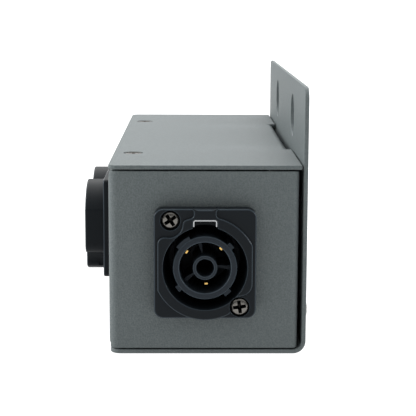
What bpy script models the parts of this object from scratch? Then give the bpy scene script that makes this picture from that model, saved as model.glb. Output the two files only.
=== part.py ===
"""Power distribution box for stage lighting: one locking mains inlet, two locking outlets.

A folded sheet-steel case of three pieces (an L-shaped base bracket whose back rises into
a mounting flange, a wrap-round body panel and a flat lift-off cover) carries three flanged
round connectors that are wired together inside.

Metres, +Z up.  +X is the inlet end, -Y the outlet side, +Y the mounting side.  The origin
is the centre of the underside.
"""

import math

import bmesh
import bpy
from mathutils import Matrix, Vector

MM = 0.001

# Case
CASE_LENGTH = 155.0 * MM          # over the two end faces
CASE_DEPTH = 53.3 * MM            # front edge to rear edge of the cover
CASE_HEIGHT = 53.0 * MM           # underside to the top of the cover
SHEET = 1.2 * MM                  # sheet steel with its powder coat
CASE_GAP = 0.4 * MM               # between the case's three pieces where they rest on each other
SEAT_GAP = 0.3 * MM               # between other pieces that touch
FLANGE_RISE = 21.3 * MM           # mounting flange above the cover
FLANGE_CORNER = 4.0 * MM
HANG_HOLE_RADIUS = 6.35 * MM
HANG_HOLE_SPACING = 67.2 * MM
HANG_HOLE_RISE = 9.9 * MM         # hole centre above the cover
BRACKET_BEND = 3.5 * MM           # outer radius of the fold under the back
PLATE_INSET = 0.25 * MM           # bottom plate behind the body panel's front
PLATE_CORNER = 3.0 * MM
BODY_INSET = 0.05 * MM            # body panel's front behind the cover's edge
BODY_BEND = 2.5 * MM              # outer radius of the body panel's front folds
BODY_REAR_BEND = 1.6 * MM         # outer radius of its rear folds
BODY_REAR_GAP = 1.2 * MM          # body panel to mounting flange
LIP_DEPTH = 11.0 * MM             # folded lips along the top and bottom of the front
LIP_RELIEF = 1.2 * MM             # slot between a lip and the end face
RETURN_WIDTH = 21.0 * MM          # folded-in rear edges of the end faces
COVER_CORNER = 2.5 * MM
SLOT_LENGTH = 77.0 * MM           # recess in the cover's rear edge, over its tab
SLOT_DEPTH = 0.9 * MM
TAB_HEIGHT = 10.0 * MM
TAB_SIDE_GAP = 0.5 * MM
TAB_SET_IN = 0.05 * MM            # tab's outer face behind the recess

# Case screws: M3, countersunk in the cover and the bottom plate, domed at the back
THREAD_RADIUS = 1.5 * MM
HOLE_CLEARANCE = 0.3 * MM
SUNK_HEAD_RADIUS = 2.6 * MM
SUNK_HEAD_HEIGHT = 1.1 * MM
HEAD_RIM = 0.25                   # share of a sunk head's height that is straight
SUNK_HEAD_DROP = 0.1 * MM         # head below the surface round it
DOME_HEAD_RADIUS = 2.8 * MM
DOME_HEAD_HEIGHT = 1.6 * MM
DOME_PROFILE = ((1.0, 0.0), (1.0, 0.4), (0.8, 0.8), (0.45, 1.0))  # shares of radius and height
SCREW_LENGTH = 8.0 * MM
CASE_SCREW_FROM_END = 28.7 * MM
CASE_SCREW_FROM_FRONT = 5.8 * MM
REAR_SCREW_FROM_END = 16.0 * MM
REAR_SCREW_HEIGHT = 9.0 * MM
NUT_RADIUS = 2.9 * MM
NUT_HEIGHT = 2.6 * MM
CROSS_LENGTH = 2.7 * MM
CROSS_WIDTH = 0.7 * MM
CROSS_DEPTH = 0.8 * MM

# Connectors, in their own frame: the origin on the bore's axis, x to the right, y up, z out of the panel
INLET_HEIGHT = 26.5 * MM          # middle of the mounting plate
INLET_BORE_DROP = 1.13 * MM       # bore below the middle of the plate
OUTLET_HEIGHT = 26.35 * MM
OUTLET_BORE_DROP = 0.6 * MM
OUTLET_PITCH = 31.0 * MM
OUTLET_SHIFT = -2.0 * MM          # middle of the outlets from the middle of the case
PLATE_WIDTH = 28.0 * MM
INLET_PLATE_HEIGHT = 30.4 * MM
INLET_PLATE_ROUND = 2.5 * MM
OUTLET_PLATE_HEIGHT = 31.0 * MM
OUTLET_PLATE_ROUND = 1.5 * MM
PLATE_FRONT = 4.8 * MM            # front of the mounting plate above the panel
PLATE_EDGE = 0.4 * MM
SCREW_ACROSS = 19.0 * MM
SCREW_UP = 24.0 * MM
BOSS_RADIUS = 14.4 * MM
BOSS_FLAT = 13.0 * MM             # half width over the boss's flats
BOSS_SCREW_RELIEF = 3.7 * MM      # radius of the cut round a screw
INLET_BOSS = 0.8 * MM             # boss above the plate
OUTLET_COLLAR = 5.8 * MM          # collar above the plate
INLET_MOUTH_RADIUS = 11.8 * MM
INLET_MOUTH_DEPTH = 4.4 * MM
INLET_BORE_RADIUS = 10.2 * MM
OUTLET_BORE_RADIUS = 9.15 * MM
BARREL_RADIUS = 11.7 * MM
BARREL_DEPTH = 20.0 * MM          # behind the panel's outer face
BASE_RADIUS = 10.6 * MM           # disc of the insulator that closes the barrel
BASE_THICKNESS = 7.5 * MM
RING_RADIUS = 8.8 * MM
RING_WALL = 1.75 * MM
HUB_RADIUS = 3.35 * MM
HUB_WALL = 0.9 * MM
INLET_CORE_SET_BACK = 1.0 * MM    # insulator front behind the boss front
OUTLET_CORE_RADIUS = 6.75 * MM
OUTLET_CORE_SET_BACK = 1.0 * MM
OUTLET_CORE_HOLE = 3.65 * MM
CORE_HOLE_BOTTOM = -8.0 * MM
KEY_HEIGHT = 1.07 * MM
KEY_BOTTOM = -6.0 * MM
KEY_SET_BACK = 0.2 * MM           # key's front behind the ring's front
KEY_SPANS = ((117.0, 144.0), (35.0, 46.0), (213.0, 224.0), (305.0, 318.0))
RIB_ANGLES = (103.0, 220.0, 352.0)
RIB_RING_WIDTH = 0.9 * MM
RIB_HUB_WIDTH = 0.3 * MM
RIB_SET_BACK = 3.5 * MM
RIB_ROOT = 1.0 * MM               # rib inside the base disc
CONTACT_ANGLES = {"line": 145.0, "neutral": 45.0, "earth": 274.0}
CONTACT_CIRCLE = 5.2 * MM
CONTACT_WIDTH = 3.6 * MM
CONTACT_THICKNESS = 0.9 * MM
CONTACT_CHAMFER = 0.6 * MM
CONTACT_SET_BACK = 5.0 * MM       # contact tip behind the insulator's front
TAB_WIDTH = 4.8 * MM
TAB_LENGTH = 6.5 * MM             # behind the insulator
LATCH_HALF_WIDTH = 3.1 * MM
LATCH_TOP = 13.4 * MM             # above the bore's centre
LATCH_LEG = 1.9 * MM
LATCH_SHEET = 0.45 * MM
LATCH_LENGTH = 3.6 * MM
LATCH_SET_BACK = 0.5 * MM
PANEL_HOLE_CLEARANCE = 0.3 * MM
CONNECTOR_HEAD_RADIUS = 2.4 * MM
CONNECTOR_HEAD_HEIGHT = 1.5 * MM
CONNECTOR_HEAD_DROP = 0.3 * MM
CONNECTOR_SCREW_LENGTH = 10.0 * MM
BUSH_RADIUS = 2.4 * MM
BUSH_HEIGHT = 2.4 * MM

# Wiring
WIRE_RADIUS = 1.3 * MM
SLEEVE_RADIUS = 3.4 * MM
SLEEVE_LENGTH = 12.0 * MM
SLEEVE_GRIP = 3.0 * MM            # wire inside its sleeve
WIRE_OFFSET = 1.9 * MM            # two wires side by side in one sleeve
WIRE_LEAD = 2.0 * MM              # straight wire past its sleeve
INLET_RUN_POINTS = 24
LINK_RUN_POINTS = 20
BOND_RUN_POINTS = 16
# Middle points of each pole's two runs, chosen so that the runs pass clear of each other: how far
# each lies from the straight line between the run's ends, in millimetres, at even steps along it.
WIRE_RUNS = {
    "line": (
        [(-3.5, 0.5, 1.5), (-5.5, 6.5, 3.5), (-5.5, 12, 4.5), (-4.5, 14, 4), (-4, 12.5, 3), (-3, 7, 1.5)],
        [(3.5, 5.5, 3), (4, 9.5, 6), (0.5, 10.5, 7.5), (-3.5, 10.5, 6.5), (-4.5, 6, 2.5)],
    ),
    "neutral": (
        [(-1, 1.5, 0.5), (-2, 7, 0), (-4, 12, -0.5), (-5.5, 12.5, -1), (-4.5, 7, -0.5)],
        [(4, 5.5, 0), (4.5, 9.5, -0.5), (1.5, 11, -1), (-3, 9.5, -1), (-3.5, 5.5, -0.5)],
    ),
    "earth": (
        [(-2.5, 0, -0.5), (-5.5, 3, -2), (-7, 7.5, -2.5), (-6, 10, -2), (-5, 10, -1.5), (-3.5, 6, -0.5)],
        [(4.5, 5, -1), (5, 8.5, -2), (1.5, 10, -2.5), (-3, 9, -2), (-4, 5, -1)],
    ),
}
STUD_PLACE = (-40.0 * MM, 2.0 * MM)
STUD_RADIUS = 2.0 * MM
STUD_HEIGHT = 11.0 * MM
STUD_FOOT_RADIUS = 4.0 * MM
STUD_FOOT_HEIGHT = 1.2 * MM
RING_TERMINAL_RADIUS = 4.2 * MM
RING_TERMINAL_SHEET = 1.0 * MM
LUG_ROOT = 1.5 * MM               # crimp lug inside the ring terminal's rim
LUG_REACH = 1.6 * MM              # crimp lug past the rim
LUG_INSET = 0.1 * MM              # lug's faces inside the terminal's
BOND_LEAD = 4.0 * MM
BOND_MIDDLE = (14.0 * MM, 7.0 * MM, 7.0 * MM)  # from the stud's foot
BOND_LANDING = (4.0 * MM, 1.5 * MM)            # from the terminal's rim
BOND_GRIP = 0.2 * MM              # end of the bond wire past the rim
BOND_RISE = 0.52 * MM             # wire's axis above the middle of the terminal's sheet
EARTH_NUT_RADIUS = 4.0 * MM
EARTH_NUT_HEIGHT = 3.2 * MM

ROUND_SIDES = 32
SMALL_SIDES = 12
NUT_SIDES = 6
CORNER_STEPS = 5
BEND_STEPS = 6
BOSS_STEPS = 20
KEY_STEPS = 4
WIRE_RESOLUTION = 2

# Worked out from the sizes above
END = CASE_LENGTH / 2
COVER_FRONT = -CASE_DEPTH / 2
COVER_REAR = CASE_DEPTH / 2
COVER_UNDER = CASE_HEIGHT - SHEET
BACK_FRONT = COVER_REAR + CASE_GAP
BACK_REAR = BACK_FRONT + SHEET
FLANGE_TOP = CASE_HEIGHT + FLANGE_RISE
BODY_FRONT = COVER_FRONT + BODY_INSET
BODY_REAR = BACK_FRONT - BODY_REAR_GAP
BODY_LOW = SHEET + CASE_GAP
BODY_HIGH = COVER_UNDER - CASE_GAP
CASE_SCREW_X = END - CASE_SCREW_FROM_END
CASE_SCREW_Y = COVER_FRONT + CASE_SCREW_FROM_FRONT
REAR_SCREW_X = END - REAR_SCREW_FROM_END
CLEAR_RADIUS = THREAD_RADIUS + HOLE_CLEARANCE
BASE_BACK = -BARREL_DEPTH
BASE_FRONT = BASE_BACK + BASE_THICKNESS
REAR_BORE_RADIUS = BASE_RADIUS + SEAT_GAP
OVERRUN = 2.0 * MM                # how far a cutter passes the face that it cuts
TINY = 0.01 * MM                  # two places closer than this are one


def remove_everything():
    """Empties the scene."""
    for item in list(bpy.data.objects):
        bpy.data.objects.remove(item, do_unlink=True)


def material(name, colour, roughness, metallic):
    """A plain Principled surface."""
    made = bpy.data.materials.new(name)
    made.use_nodes = True
    shader = made.node_tree.nodes["Principled BSDF"]
    shader.inputs["Base Color"].default_value = (*colour, 1.0)
    shader.inputs["Roughness"].default_value = roughness
    shader.inputs["Metallic"].default_value = metallic
    return made


def add_object(name, shape, parent=None, surface=None):
    """Puts a bmesh into the scene as an object, smooth where its faces run on."""
    bmesh.ops.remove_doubles(shape, verts=shape.verts, dist=0.001 * MM)
    bmesh.ops.recalc_face_normals(shape, faces=shape.faces)
    mesh = bpy.data.meshes.new(name)
    shape.to_mesh(mesh)
    shape.free()
    mesh.shade_smooth()
    mesh.set_sharp_from_angle(angle=math.radians(30))
    made = bpy.data.objects.new(name, mesh)
    bpy.context.scene.collection.objects.link(made)
    made.parent = parent
    if surface:
        mesh.materials.append(surface)
    return made


def arc(centre, radius, start, end, steps):
    """Points on an arc, angles in degrees."""
    turns = [math.radians(start + (end - start) * k / steps) for k in range(steps + 1)]
    return [(centre[0] + radius * math.cos(turn), centre[1] + radius * math.sin(turn)) for turn in turns]


def rounded_rectangle(low, high, radii, steps=CORNER_STEPS):
    """Corner radii run from the low corner anticlockwise; a zero radius is a sharp corner."""
    corners = ((low[0], low[1], 180), (high[0], low[1], 270), (high[0], high[1], 0), (low[0], high[1], 90))
    points = []
    for (x, y, start), radius in zip(corners, radii):
        if radius == 0:
            points.append((x, y))
            continue
        inward_x = radius if x == low[0] else -radius
        inward_y = radius if y == low[1] else -radius
        points += arc((x + inward_x, y + inward_y), radius, start, start + 90, steps)
    return points


def prism_shape(outline, low, high):
    """An outline in XY drawn up from low to high."""
    shape = bmesh.new()
    floor = shape.faces.new([shape.verts.new((x, y, low)) for x, y in outline])
    raised = bmesh.ops.extrude_face_region(shape, geom=[floor])
    lifted = [item for item in raised["geom"] if isinstance(item, bmesh.types.BMVert)]
    bmesh.ops.translate(shape, verts=lifted, vec=(0, 0, high - low))
    return shape


def prism(name, outline, low, high, parent=None, surface=None):
    """An object made of one prism."""
    return add_object(name, prism_shape(outline, low, high), parent, surface)


def box(name, low, high, parent=None, surface=None):
    """A box between two corners."""
    outline = [(low[0], low[1]), (high[0], low[1]), (high[0], high[1]), (low[0], high[1])]
    return prism(name, outline, low[2], high[2], parent, surface)


def turned(name, profile, sides, parent=None, surface=None, centre=(0.0, 0.0)):
    """Turns a profile of (radius, height) points, from axis to axis, round the Z axis."""
    shape = bmesh.new()
    rings = []
    for radius, height in profile:
        count = 1 if radius == 0 else sides
        ring = []
        for k in range(count):
            turn = 2 * math.pi * k / sides
            place = (centre[0] + radius * math.cos(turn), centre[1] + radius * math.sin(turn), height)
            ring.append(shape.verts.new(place))
        rings.append(ring)
    for lower, upper in zip(rings, rings[1:]):
        for k in range(sides):
            following = (k + 1) % sides
            corners = [lower[k % len(lower)], lower[following % len(lower)]]
            corners += [upper[following % len(upper)], upper[k % len(upper)]]
            shape.faces.new(list(dict.fromkeys(corners)))
    return add_object(name, shape, parent, surface)


def cylinder(name, radius, low, high, sides, parent=None, surface=None, centre=(0.0, 0.0)):
    """A plain cylinder along Z."""
    return turned(name, [(0, low), (radius, low), (radius, high), (0, high)], sides, parent, surface, centre)


def combine(target, tools, operation):
    """Unites the target with other shapes, or cuts them from it, and hides them."""
    for tool in tools:
        step = target.modifiers.new(operation.lower() + " " + tool.name, "BOOLEAN")
        step.operation = operation
        step.solver = "EXACT"
        step.object = tool
        tool.display_type = "WIRE"
        tool.hide_render = True


def cut(target, *tools):
    """Cuts each tool from the target."""
    combine(target, tools, "DIFFERENCE")


def unite(target, *tools):
    """Joins each tool to the target."""
    combine(target, tools, "UNION")


def empty(name, location, axes):
    """A frame to place pieces in; axes are its x, y and z directions in the world."""
    frame = bpy.data.objects.new(name, None)
    bpy.context.scene.collection.objects.link(frame)
    turn = Matrix([Vector(axis) for axis in axes]).transposed()
    frame.matrix_world = Matrix.Translation(Vector(location)) @ turn.to_4x4()
    return frame


def bevel_edges(shape, chosen, width, steps):
    """Rounds the edges of a bmesh that the test picks."""
    edges = [edge for edge in shape.edges if chosen(edge)]
    bmesh.ops.bevel(shape, geom=edges, offset=width, segments=steps, profile=0.5, affect="EDGES")


def on_cap(edge, axis, value):
    """True for an edge of a prism's end cap that lies at one value of x (axis 0) or y (axis 1)."""
    first, second = (vert.co for vert in edge.verts)
    level = abs(first.z - second.z) < TINY
    return level and all(abs(point[axis] - value) < TINY for point in (first, second))


def cross_recess(name, top, parent):
    """A cross-shaped driver recess, two bars that are cut one after the other."""
    half_length = CROSS_LENGTH / 2
    half_width = CROSS_WIDTH / 2
    bars = []
    for k, (half_x, half_y) in enumerate(((half_length, half_width), (half_width, half_length))):
        low = (-half_x, -half_y, top - CROSS_DEPTH)
        bars.append(box(name + "_bar_%d" % (k + 1), low, (half_x, half_y, top + OVERRUN), parent))
    return bars


def sunk_screw(name, frame, head_radius, head_height, length):
    """A countersunk screw whose head's top is the frame's origin."""
    profile = [(0, -length), (THREAD_RADIUS, -length), (THREAD_RADIUS, -head_height)]
    profile += [(head_radius, -HEAD_RIM * head_height), (head_radius, 0), (0, 0)]
    screw = turned(name, profile, SMALL_SIDES, frame, NICKEL)
    cut(screw, *cross_recess(name, 0, frame))
    return screw


def nut(name, frame, radius, bore, top, height, sides=SMALL_SIDES):
    """A nut or bush round the frame's axis, from its top downwards."""
    made = cylinder(name, radius, top - height, top, sides, frame, NICKEL)
    cut(made, cylinder(name + "_bore", bore, top - height - OVERRUN, top + OVERRUN, SMALL_SIDES, frame))
    return made


remove_everything()

GREY_COAT = material("grey powder coat", (0.165, 0.185, 0.19), 0.55, 0.0)
BLACK_NYLON = material("black glass-filled nylon", (0.012, 0.013, 0.015), 0.45, 0.0)
NICKEL = material("nickel-plated steel", (0.62, 0.6, 0.56), 0.25, 1.0)
SPRING_STEEL = material("bright spring steel", (0.7, 0.7, 0.7), 0.2, 1.0)
BRASS = material("brass", (0.78, 0.55, 0.22), 0.3, 1.0)
WIRE_COLOURS = {
    "line": material("brown insulation", (0.13, 0.05, 0.02), 0.5, 0.0),
    "neutral": material("blue insulation", (0.03, 0.12, 0.45), 0.5, 0.0),
    "earth": material("green insulation", (0.06, 0.3, 0.05), 0.5, 0.0),
}
UPRIGHT = ((1, 0, 0), (0, 1, 0), (0, 0, 1))
HANGING = ((1, 0, 0), (0, -1, 0), (0, 0, -1))
REARWARD = ((-1, 0, 0), (0, 0, 1), (0, 1, 0))
ENDWARD = ((0, 1, 0), (0, 0, 1), (1, 0, 0))
FRONTWARD = ((1, 0, 0), (0, 0, 1), (0, -1, 0))
NUMBERED_SIDES = ((1, 1), (2, -1))  # fasteners are numbered from the inlet end


def base_bracket():
    """Bottom plate and back plate folded from one sheet; the back rises into the flange."""
    plate_front = BODY_FRONT + PLATE_INSET
    inner = BRACKET_BEND - SHEET
    bend_centre = (BACK_REAR - BRACKET_BEND, BRACKET_BEND)
    outline = [(plate_front, 0)]
    outline += arc(bend_centre, BRACKET_BEND, 270, 360, BEND_STEPS)
    outline += [(BACK_REAR, FLANGE_TOP), (BACK_FRONT, FLANGE_TOP)]
    outline += arc(bend_centre, inner, 360, 270, BEND_STEPS)
    outline += [(plate_front, SHEET)]
    shape = prism_shape(outline, -END, END)
    bevel_edges(shape, lambda edge: on_cap(edge, 0, plate_front), PLATE_CORNER, BEND_STEPS)
    bevel_edges(shape, lambda edge: on_cap(edge, 1, FLANGE_TOP), FLANGE_CORNER, BEND_STEPS)
    # The prism stands in (y, z, x); turn it to lie along the case.
    for vert in shape.verts:
        vert.co = Vector((vert.co.z, vert.co.x, vert.co.y))
    bracket = add_object("base_bracket", shape, None, GREY_COAT)
    tools = []
    deep = -SHEET - OVERRUN
    for number, side in NUMBERED_SIDES:
        hang_place = (side * HANG_HOLE_SPACING / 2, BACK_REAR, CASE_HEIGHT + HANG_HOLE_RISE)
        hole = empty("hang_hole_%d" % number, hang_place, REARWARD)
        name = "hang_hole_cutter_%d" % number
        tools.append(cylinder(name, HANG_HOLE_RADIUS, deep, OVERRUN, ROUND_SIDES, hole))
        below = empty("bottom_hole_%d" % number, (side * CASE_SCREW_X, CASE_SCREW_Y, 0), HANGING)
        tools.append(countersink("bottom_countersink_%d" % number, below))
        behind = empty("rear_hole_%d" % number, (side * REAR_SCREW_X, BACK_REAR, REAR_SCREW_HEIGHT), REARWARD)
        name = "rear_hole_cutter_%d" % number
        tools.append(cylinder(name, CLEAR_RADIUS, deep, OVERRUN, SMALL_SIDES, behind))
    cut(bracket, *tools)
    return bracket


def countersink(name, frame):
    """A cutter for a countersunk hole through one sheet; the frame is on the outer face."""
    mouth = SUNK_HEAD_RADIUS + HOLE_CLEARANCE
    straight = SUNK_HEAD_DROP + HEAD_RIM * SUNK_HEAD_HEIGHT
    throat = SUNK_HEAD_DROP + SUNK_HEAD_HEIGHT
    profile = [(0, -SHEET - OVERRUN), (CLEAR_RADIUS, -SHEET - OVERRUN), (CLEAR_RADIUS, -throat)]
    profile += [(mouth, -straight), (mouth, OVERRUN), (0, OVERRUN)]
    return turned(name, profile, SMALL_SIDES, frame)


def body_panel():
    """Front and both end faces folded from one sheet, with lips and folded-in rear edges."""
    outer = (BODY_BEND, BODY_BEND, BODY_REAR_BEND, BODY_REAR_BEND)
    inner = tuple(radius - SHEET for radius in outer)
    plan = rounded_rectangle((-END, BODY_FRONT), (END, BODY_REAR), outer)
    panel = prism("body_panel", plan, BODY_LOW, BODY_HIGH, None, GREY_COAT)
    inside_low = (-END + SHEET, BODY_FRONT + SHEET)
    inside_high = (END - SHEET, BODY_REAR - SHEET)
    inside_plan = rounded_rectangle(inside_low, inside_high, inner)
    hollow = prism("body_hollow", inside_plan, BODY_LOW + SHEET, BODY_HIGH - SHEET)
    lip_end = BODY_FRONT + LIP_DEPTH
    under = BODY_LOW - OVERRUN
    over = BODY_HIGH + OVERRUN
    mouth = box("body_mouth", (inside_low[0], lip_end, under), (*inside_high, over))
    rear_half = END - RETURN_WIDTH
    rear = box("body_rear_opening", (-rear_half, lip_end, under), (rear_half, BODY_REAR + OVERRUN, over))
    tools = [hollow, mouth, rear]
    for number, side in NUMBERED_SIDES:
        first = side * (END - SHEET)
        second = side * (END - SHEET - LIP_RELIEF)
        low = (min(first, second), BODY_FRONT + BODY_BEND, under)
        high = (max(first, second), lip_end + OVERRUN, over)
        tools.append(box("lip_relief_%d" % number, low, high))
        lip_hole = empty("lip_hole_%d" % number, (side * CASE_SCREW_X, CASE_SCREW_Y, 0), UPRIGHT)
        name = "lip_hole_cutter_%d" % number
        tools.append(cylinder(name, CLEAR_RADIUS, under, over, SMALL_SIDES, lip_hole))
        place = (side * REAR_SCREW_X, BODY_REAR, REAR_SCREW_HEIGHT)
        behind = empty("return_hole_%d" % number, place, REARWARD)
        name = "return_hole_cutter_%d" % number
        tools.append(cylinder(name, CLEAR_RADIUS, -SHEET - OVERRUN, OVERRUN, SMALL_SIDES, behind))
    cut(panel, *tools)
    return panel


def screw_places(drop):
    """The two screws of a connector, upper left and lower right seen from its front."""
    return ((1, (-SCREW_ACROSS / 2, drop + SCREW_UP / 2)), (2, (SCREW_ACROSS / 2, drop - SCREW_UP / 2)))


def cut_panel_for_connector(panel, name, frame, drop):
    """The round hole and the two screw holes of one connector."""
    depth = -SHEET - OVERRUN
    radius = BARREL_RADIUS + PANEL_HOLE_CLEARANCE
    cut(panel, cylinder(name + "_panel_hole", radius, depth, OVERRUN, ROUND_SIDES, frame))
    for number, place in screw_places(drop):
        hole_name = name + "_panel_screw_hole_%d" % number
        cut(panel, cylinder(hole_name, CLEAR_RADIUS, depth, OVERRUN, SMALL_SIDES, frame, None, place))


def top_cover():
    """Flat cover; its rear edge is recessed where a stiffening tab folds down."""
    slot = COVER_REAR - SLOT_DEPTH
    half = SLOT_LENGTH / 2
    outline = arc((-END + COVER_CORNER, COVER_FRONT + COVER_CORNER), COVER_CORNER, 180, 270, BEND_STEPS)
    outline += arc((END - COVER_CORNER, COVER_FRONT + COVER_CORNER), COVER_CORNER, 270, 360, BEND_STEPS)
    outline += [(END, COVER_REAR), (half, COVER_REAR), (half, slot)]
    outline += [(-half, slot), (-half, COVER_REAR), (-END, COVER_REAR)]
    cover = prism("top_cover", outline, COVER_UNDER, CASE_HEIGHT, None, GREY_COAT)
    tab_half = half - TAB_SIDE_GAP
    tab_outer = slot - TAB_SET_IN
    tab_low = (-tab_half, tab_outer - SHEET, COVER_UNDER - TAB_HEIGHT)
    unite(cover, box("cover_tab", tab_low, (tab_half, tab_outer, CASE_HEIGHT - SHEET / 2)))
    for number, side in NUMBERED_SIDES:
        frame = empty("cover_hole_%d" % number, (side * CASE_SCREW_X, CASE_SCREW_Y, CASE_HEIGHT), UPRIGHT)
        cut(cover, countersink("cover_countersink_%d" % number, frame))
    return cover


def case_screws():
    """Two screws each in the cover, the bottom plate and the back, with their clinch nuts."""
    cover_head = CASE_HEIGHT - SUNK_HEAD_DROP
    for number, side in NUMBERED_SIDES:
        place = (side * CASE_SCREW_X, CASE_SCREW_Y, cover_head)
        over = empty("cover_screw_frame_%d" % number, place, UPRIGHT)
        sunk_screw("cover_screw_%d" % number, over, SUNK_HEAD_RADIUS, SUNK_HEAD_HEIGHT, SCREW_LENGTH)
        under_lip = BODY_HIGH - SHEET - SEAT_GAP - cover_head
        nut("cover_nut_%d" % number, over, NUT_RADIUS, CLEAR_RADIUS, under_lip, NUT_HEIGHT)

        place = (side * CASE_SCREW_X, CASE_SCREW_Y, SUNK_HEAD_DROP)
        below = empty("bottom_screw_frame_%d" % number, place, HANGING)
        sunk_screw("bottom_screw_%d" % number, below, SUNK_HEAD_RADIUS, SUNK_HEAD_HEIGHT, SCREW_LENGTH)
        over_lip = SUNK_HEAD_DROP - (BODY_LOW + SHEET + SEAT_GAP)
        nut("bottom_nut_%d" % number, below, NUT_RADIUS, CLEAR_RADIUS, over_lip, NUT_HEIGHT)

        place = (side * REAR_SCREW_X, BACK_REAR + SEAT_GAP, REAR_SCREW_HEIGHT)
        behind = empty("rear_screw_frame_%d" % number, place, REARWARD)
        dome = [(0, -SCREW_LENGTH), (THREAD_RADIUS, -SCREW_LENGTH), (THREAD_RADIUS, 0)]
        dome += [(wide * DOME_HEAD_RADIUS, high * DOME_HEAD_HEIGHT) for wide, high in DOME_PROFILE]
        dome.append((0, DOME_HEAD_HEIGHT))
        screw = turned("rear_screw_%d" % number, dome, SMALL_SIDES, behind, NICKEL)
        cut(screw, *cross_recess("rear_screw_%d" % number, DOME_HEAD_HEIGHT, behind))
        inside = BODY_REAR - SHEET - SEAT_GAP - (BACK_REAR + SEAT_GAP)
        nut("rear_nut_%d" % number, behind, NUT_RADIUS, CLEAR_RADIUS, inside, NUT_HEIGHT)


def boss_outline():
    """A circle round the bore with a flat on each side."""
    flat_turn = math.degrees(math.acos(BOSS_FLAT / BOSS_RADIUS))
    upper = arc((0, 0), BOSS_RADIUS, flat_turn, 180 - flat_turn, BOSS_STEPS)
    lower = arc((0, 0), BOSS_RADIUS, 180 + flat_turn, 360 - flat_turn, BOSS_STEPS)
    return upper + lower


def housing(name, frame, plate_height, plate_round, drop, boss_height, bore_steps):
    """Flanged connector body: mounting plate, boss or collar, and the barrel behind."""
    half = PLATE_WIDTH / 2
    plate_low = (-half, drop - plate_height / 2)
    outline = rounded_rectangle(plate_low, (half, drop + plate_height / 2), [plate_round] * 4)
    shape = prism_shape(outline, SEAT_GAP, PLATE_FRONT)
    front = PLATE_FRONT - TINY
    bevel_edges(shape, lambda edge: all(vert.co.z > front for vert in edge.verts), PLATE_EDGE, 2)
    body = add_object(name, shape, frame, BLACK_NYLON)
    inside = PLATE_FRONT / 2
    boss_top = PLATE_FRONT + boss_height
    boss = prism(name + "_boss", boss_outline(), inside, boss_top, frame)
    for number, place in screw_places(drop):
        relief_name = name + "_boss_relief_%d" % number
        low = inside - OVERRUN
        high = boss_top + OVERRUN
        cut(boss, cylinder(relief_name, BOSS_SCREW_RELIEF, low, high, SMALL_SIDES, frame, None, place))
    barrel = cylinder(name + "_barrel", BARREL_RADIUS, BASE_BACK, inside, ROUND_SIDES, frame)
    unite(body, boss, barrel)
    cut(body, turned(name + "_bore", bore_steps, ROUND_SIDES, frame))
    notch_side = LATCH_HALF_WIDTH + SEAT_GAP
    notch_top = LATCH_TOP + SEAT_GAP
    notch_back = boss_top - LATCH_SET_BACK - LATCH_LENGTH - SEAT_GAP
    notch_low = (-notch_side, 0, notch_back)
    notch_high = (notch_side, notch_top, boss_top + OVERRUN)
    cut(body, box(name + "_latch_notch", notch_low, notch_high, frame))
    head_bottom = PLATE_FRONT - CONNECTOR_HEAD_DROP - CONNECTOR_HEAD_HEIGHT - HOLE_CLEARANCE
    head_clear = CONNECTOR_HEAD_RADIUS + HOLE_CLEARANCE
    steps = [(0, -OVERRUN), (CLEAR_RADIUS, -OVERRUN), (CLEAR_RADIUS, head_bottom), (head_clear, head_bottom)]
    steps += [(head_clear, PLATE_FRONT + OVERRUN), (0, PLATE_FRONT + OVERRUN)]
    for number, place in screw_places(drop):
        cut(body, turned(name + "_screw_hole_%d" % number, steps, SMALL_SIDES, frame, None, place))
    return body


def sector(inner, outer, start, end):
    """Outline of a piece of a ring round the bore."""
    return arc((0, 0), inner, start, end, KEY_STEPS) + arc((0, 0), outer, end, start, KEY_STEPS)


def cut_contact_slots(core, name, frame, angles, front):
    """Passages for the three contacts through an insulator."""
    for pole, angle in angles.items():
        seat = contact_frame(name + "_" + pole + "_slot_frame", frame, angle)
        half = TAB_WIDTH / 2 + SEAT_GAP
        depth = CONTACT_THICKNESS / 2 + SEAT_GAP
        low = (-half, BASE_BACK - OVERRUN, -depth)
        cut(core, box(name + "_" + pole + "_slot", low, (half, front, depth), seat))


def inlet_ring(name, frame):
    """Keyed ring of the inlet's insulator; it stands on the base disc."""
    front = PLATE_FRONT + INLET_BOSS - INLET_CORE_SET_BACK
    ring = cylinder(name, RING_RADIUS, BASE_FRONT + SEAT_GAP, front, ROUND_SIDES, frame, BLACK_NYLON)
    keys = []
    for k, (start, end) in enumerate(KEY_SPANS):
        outline = sector(RING_RADIUS - RING_WALL / 2, RING_RADIUS + KEY_HEIGHT, start, end)
        keys.append(prism(name + "_key_%d" % (k + 1), outline, KEY_BOTTOM, front - KEY_SET_BACK, frame))
    unite(ring, *keys)
    inner = RING_RADIUS - RING_WALL
    cut(ring, cylinder(name + "_bore", inner, BASE_FRONT - OVERRUN, front + OVERRUN, ROUND_SIDES, frame))
    return ring


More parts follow.
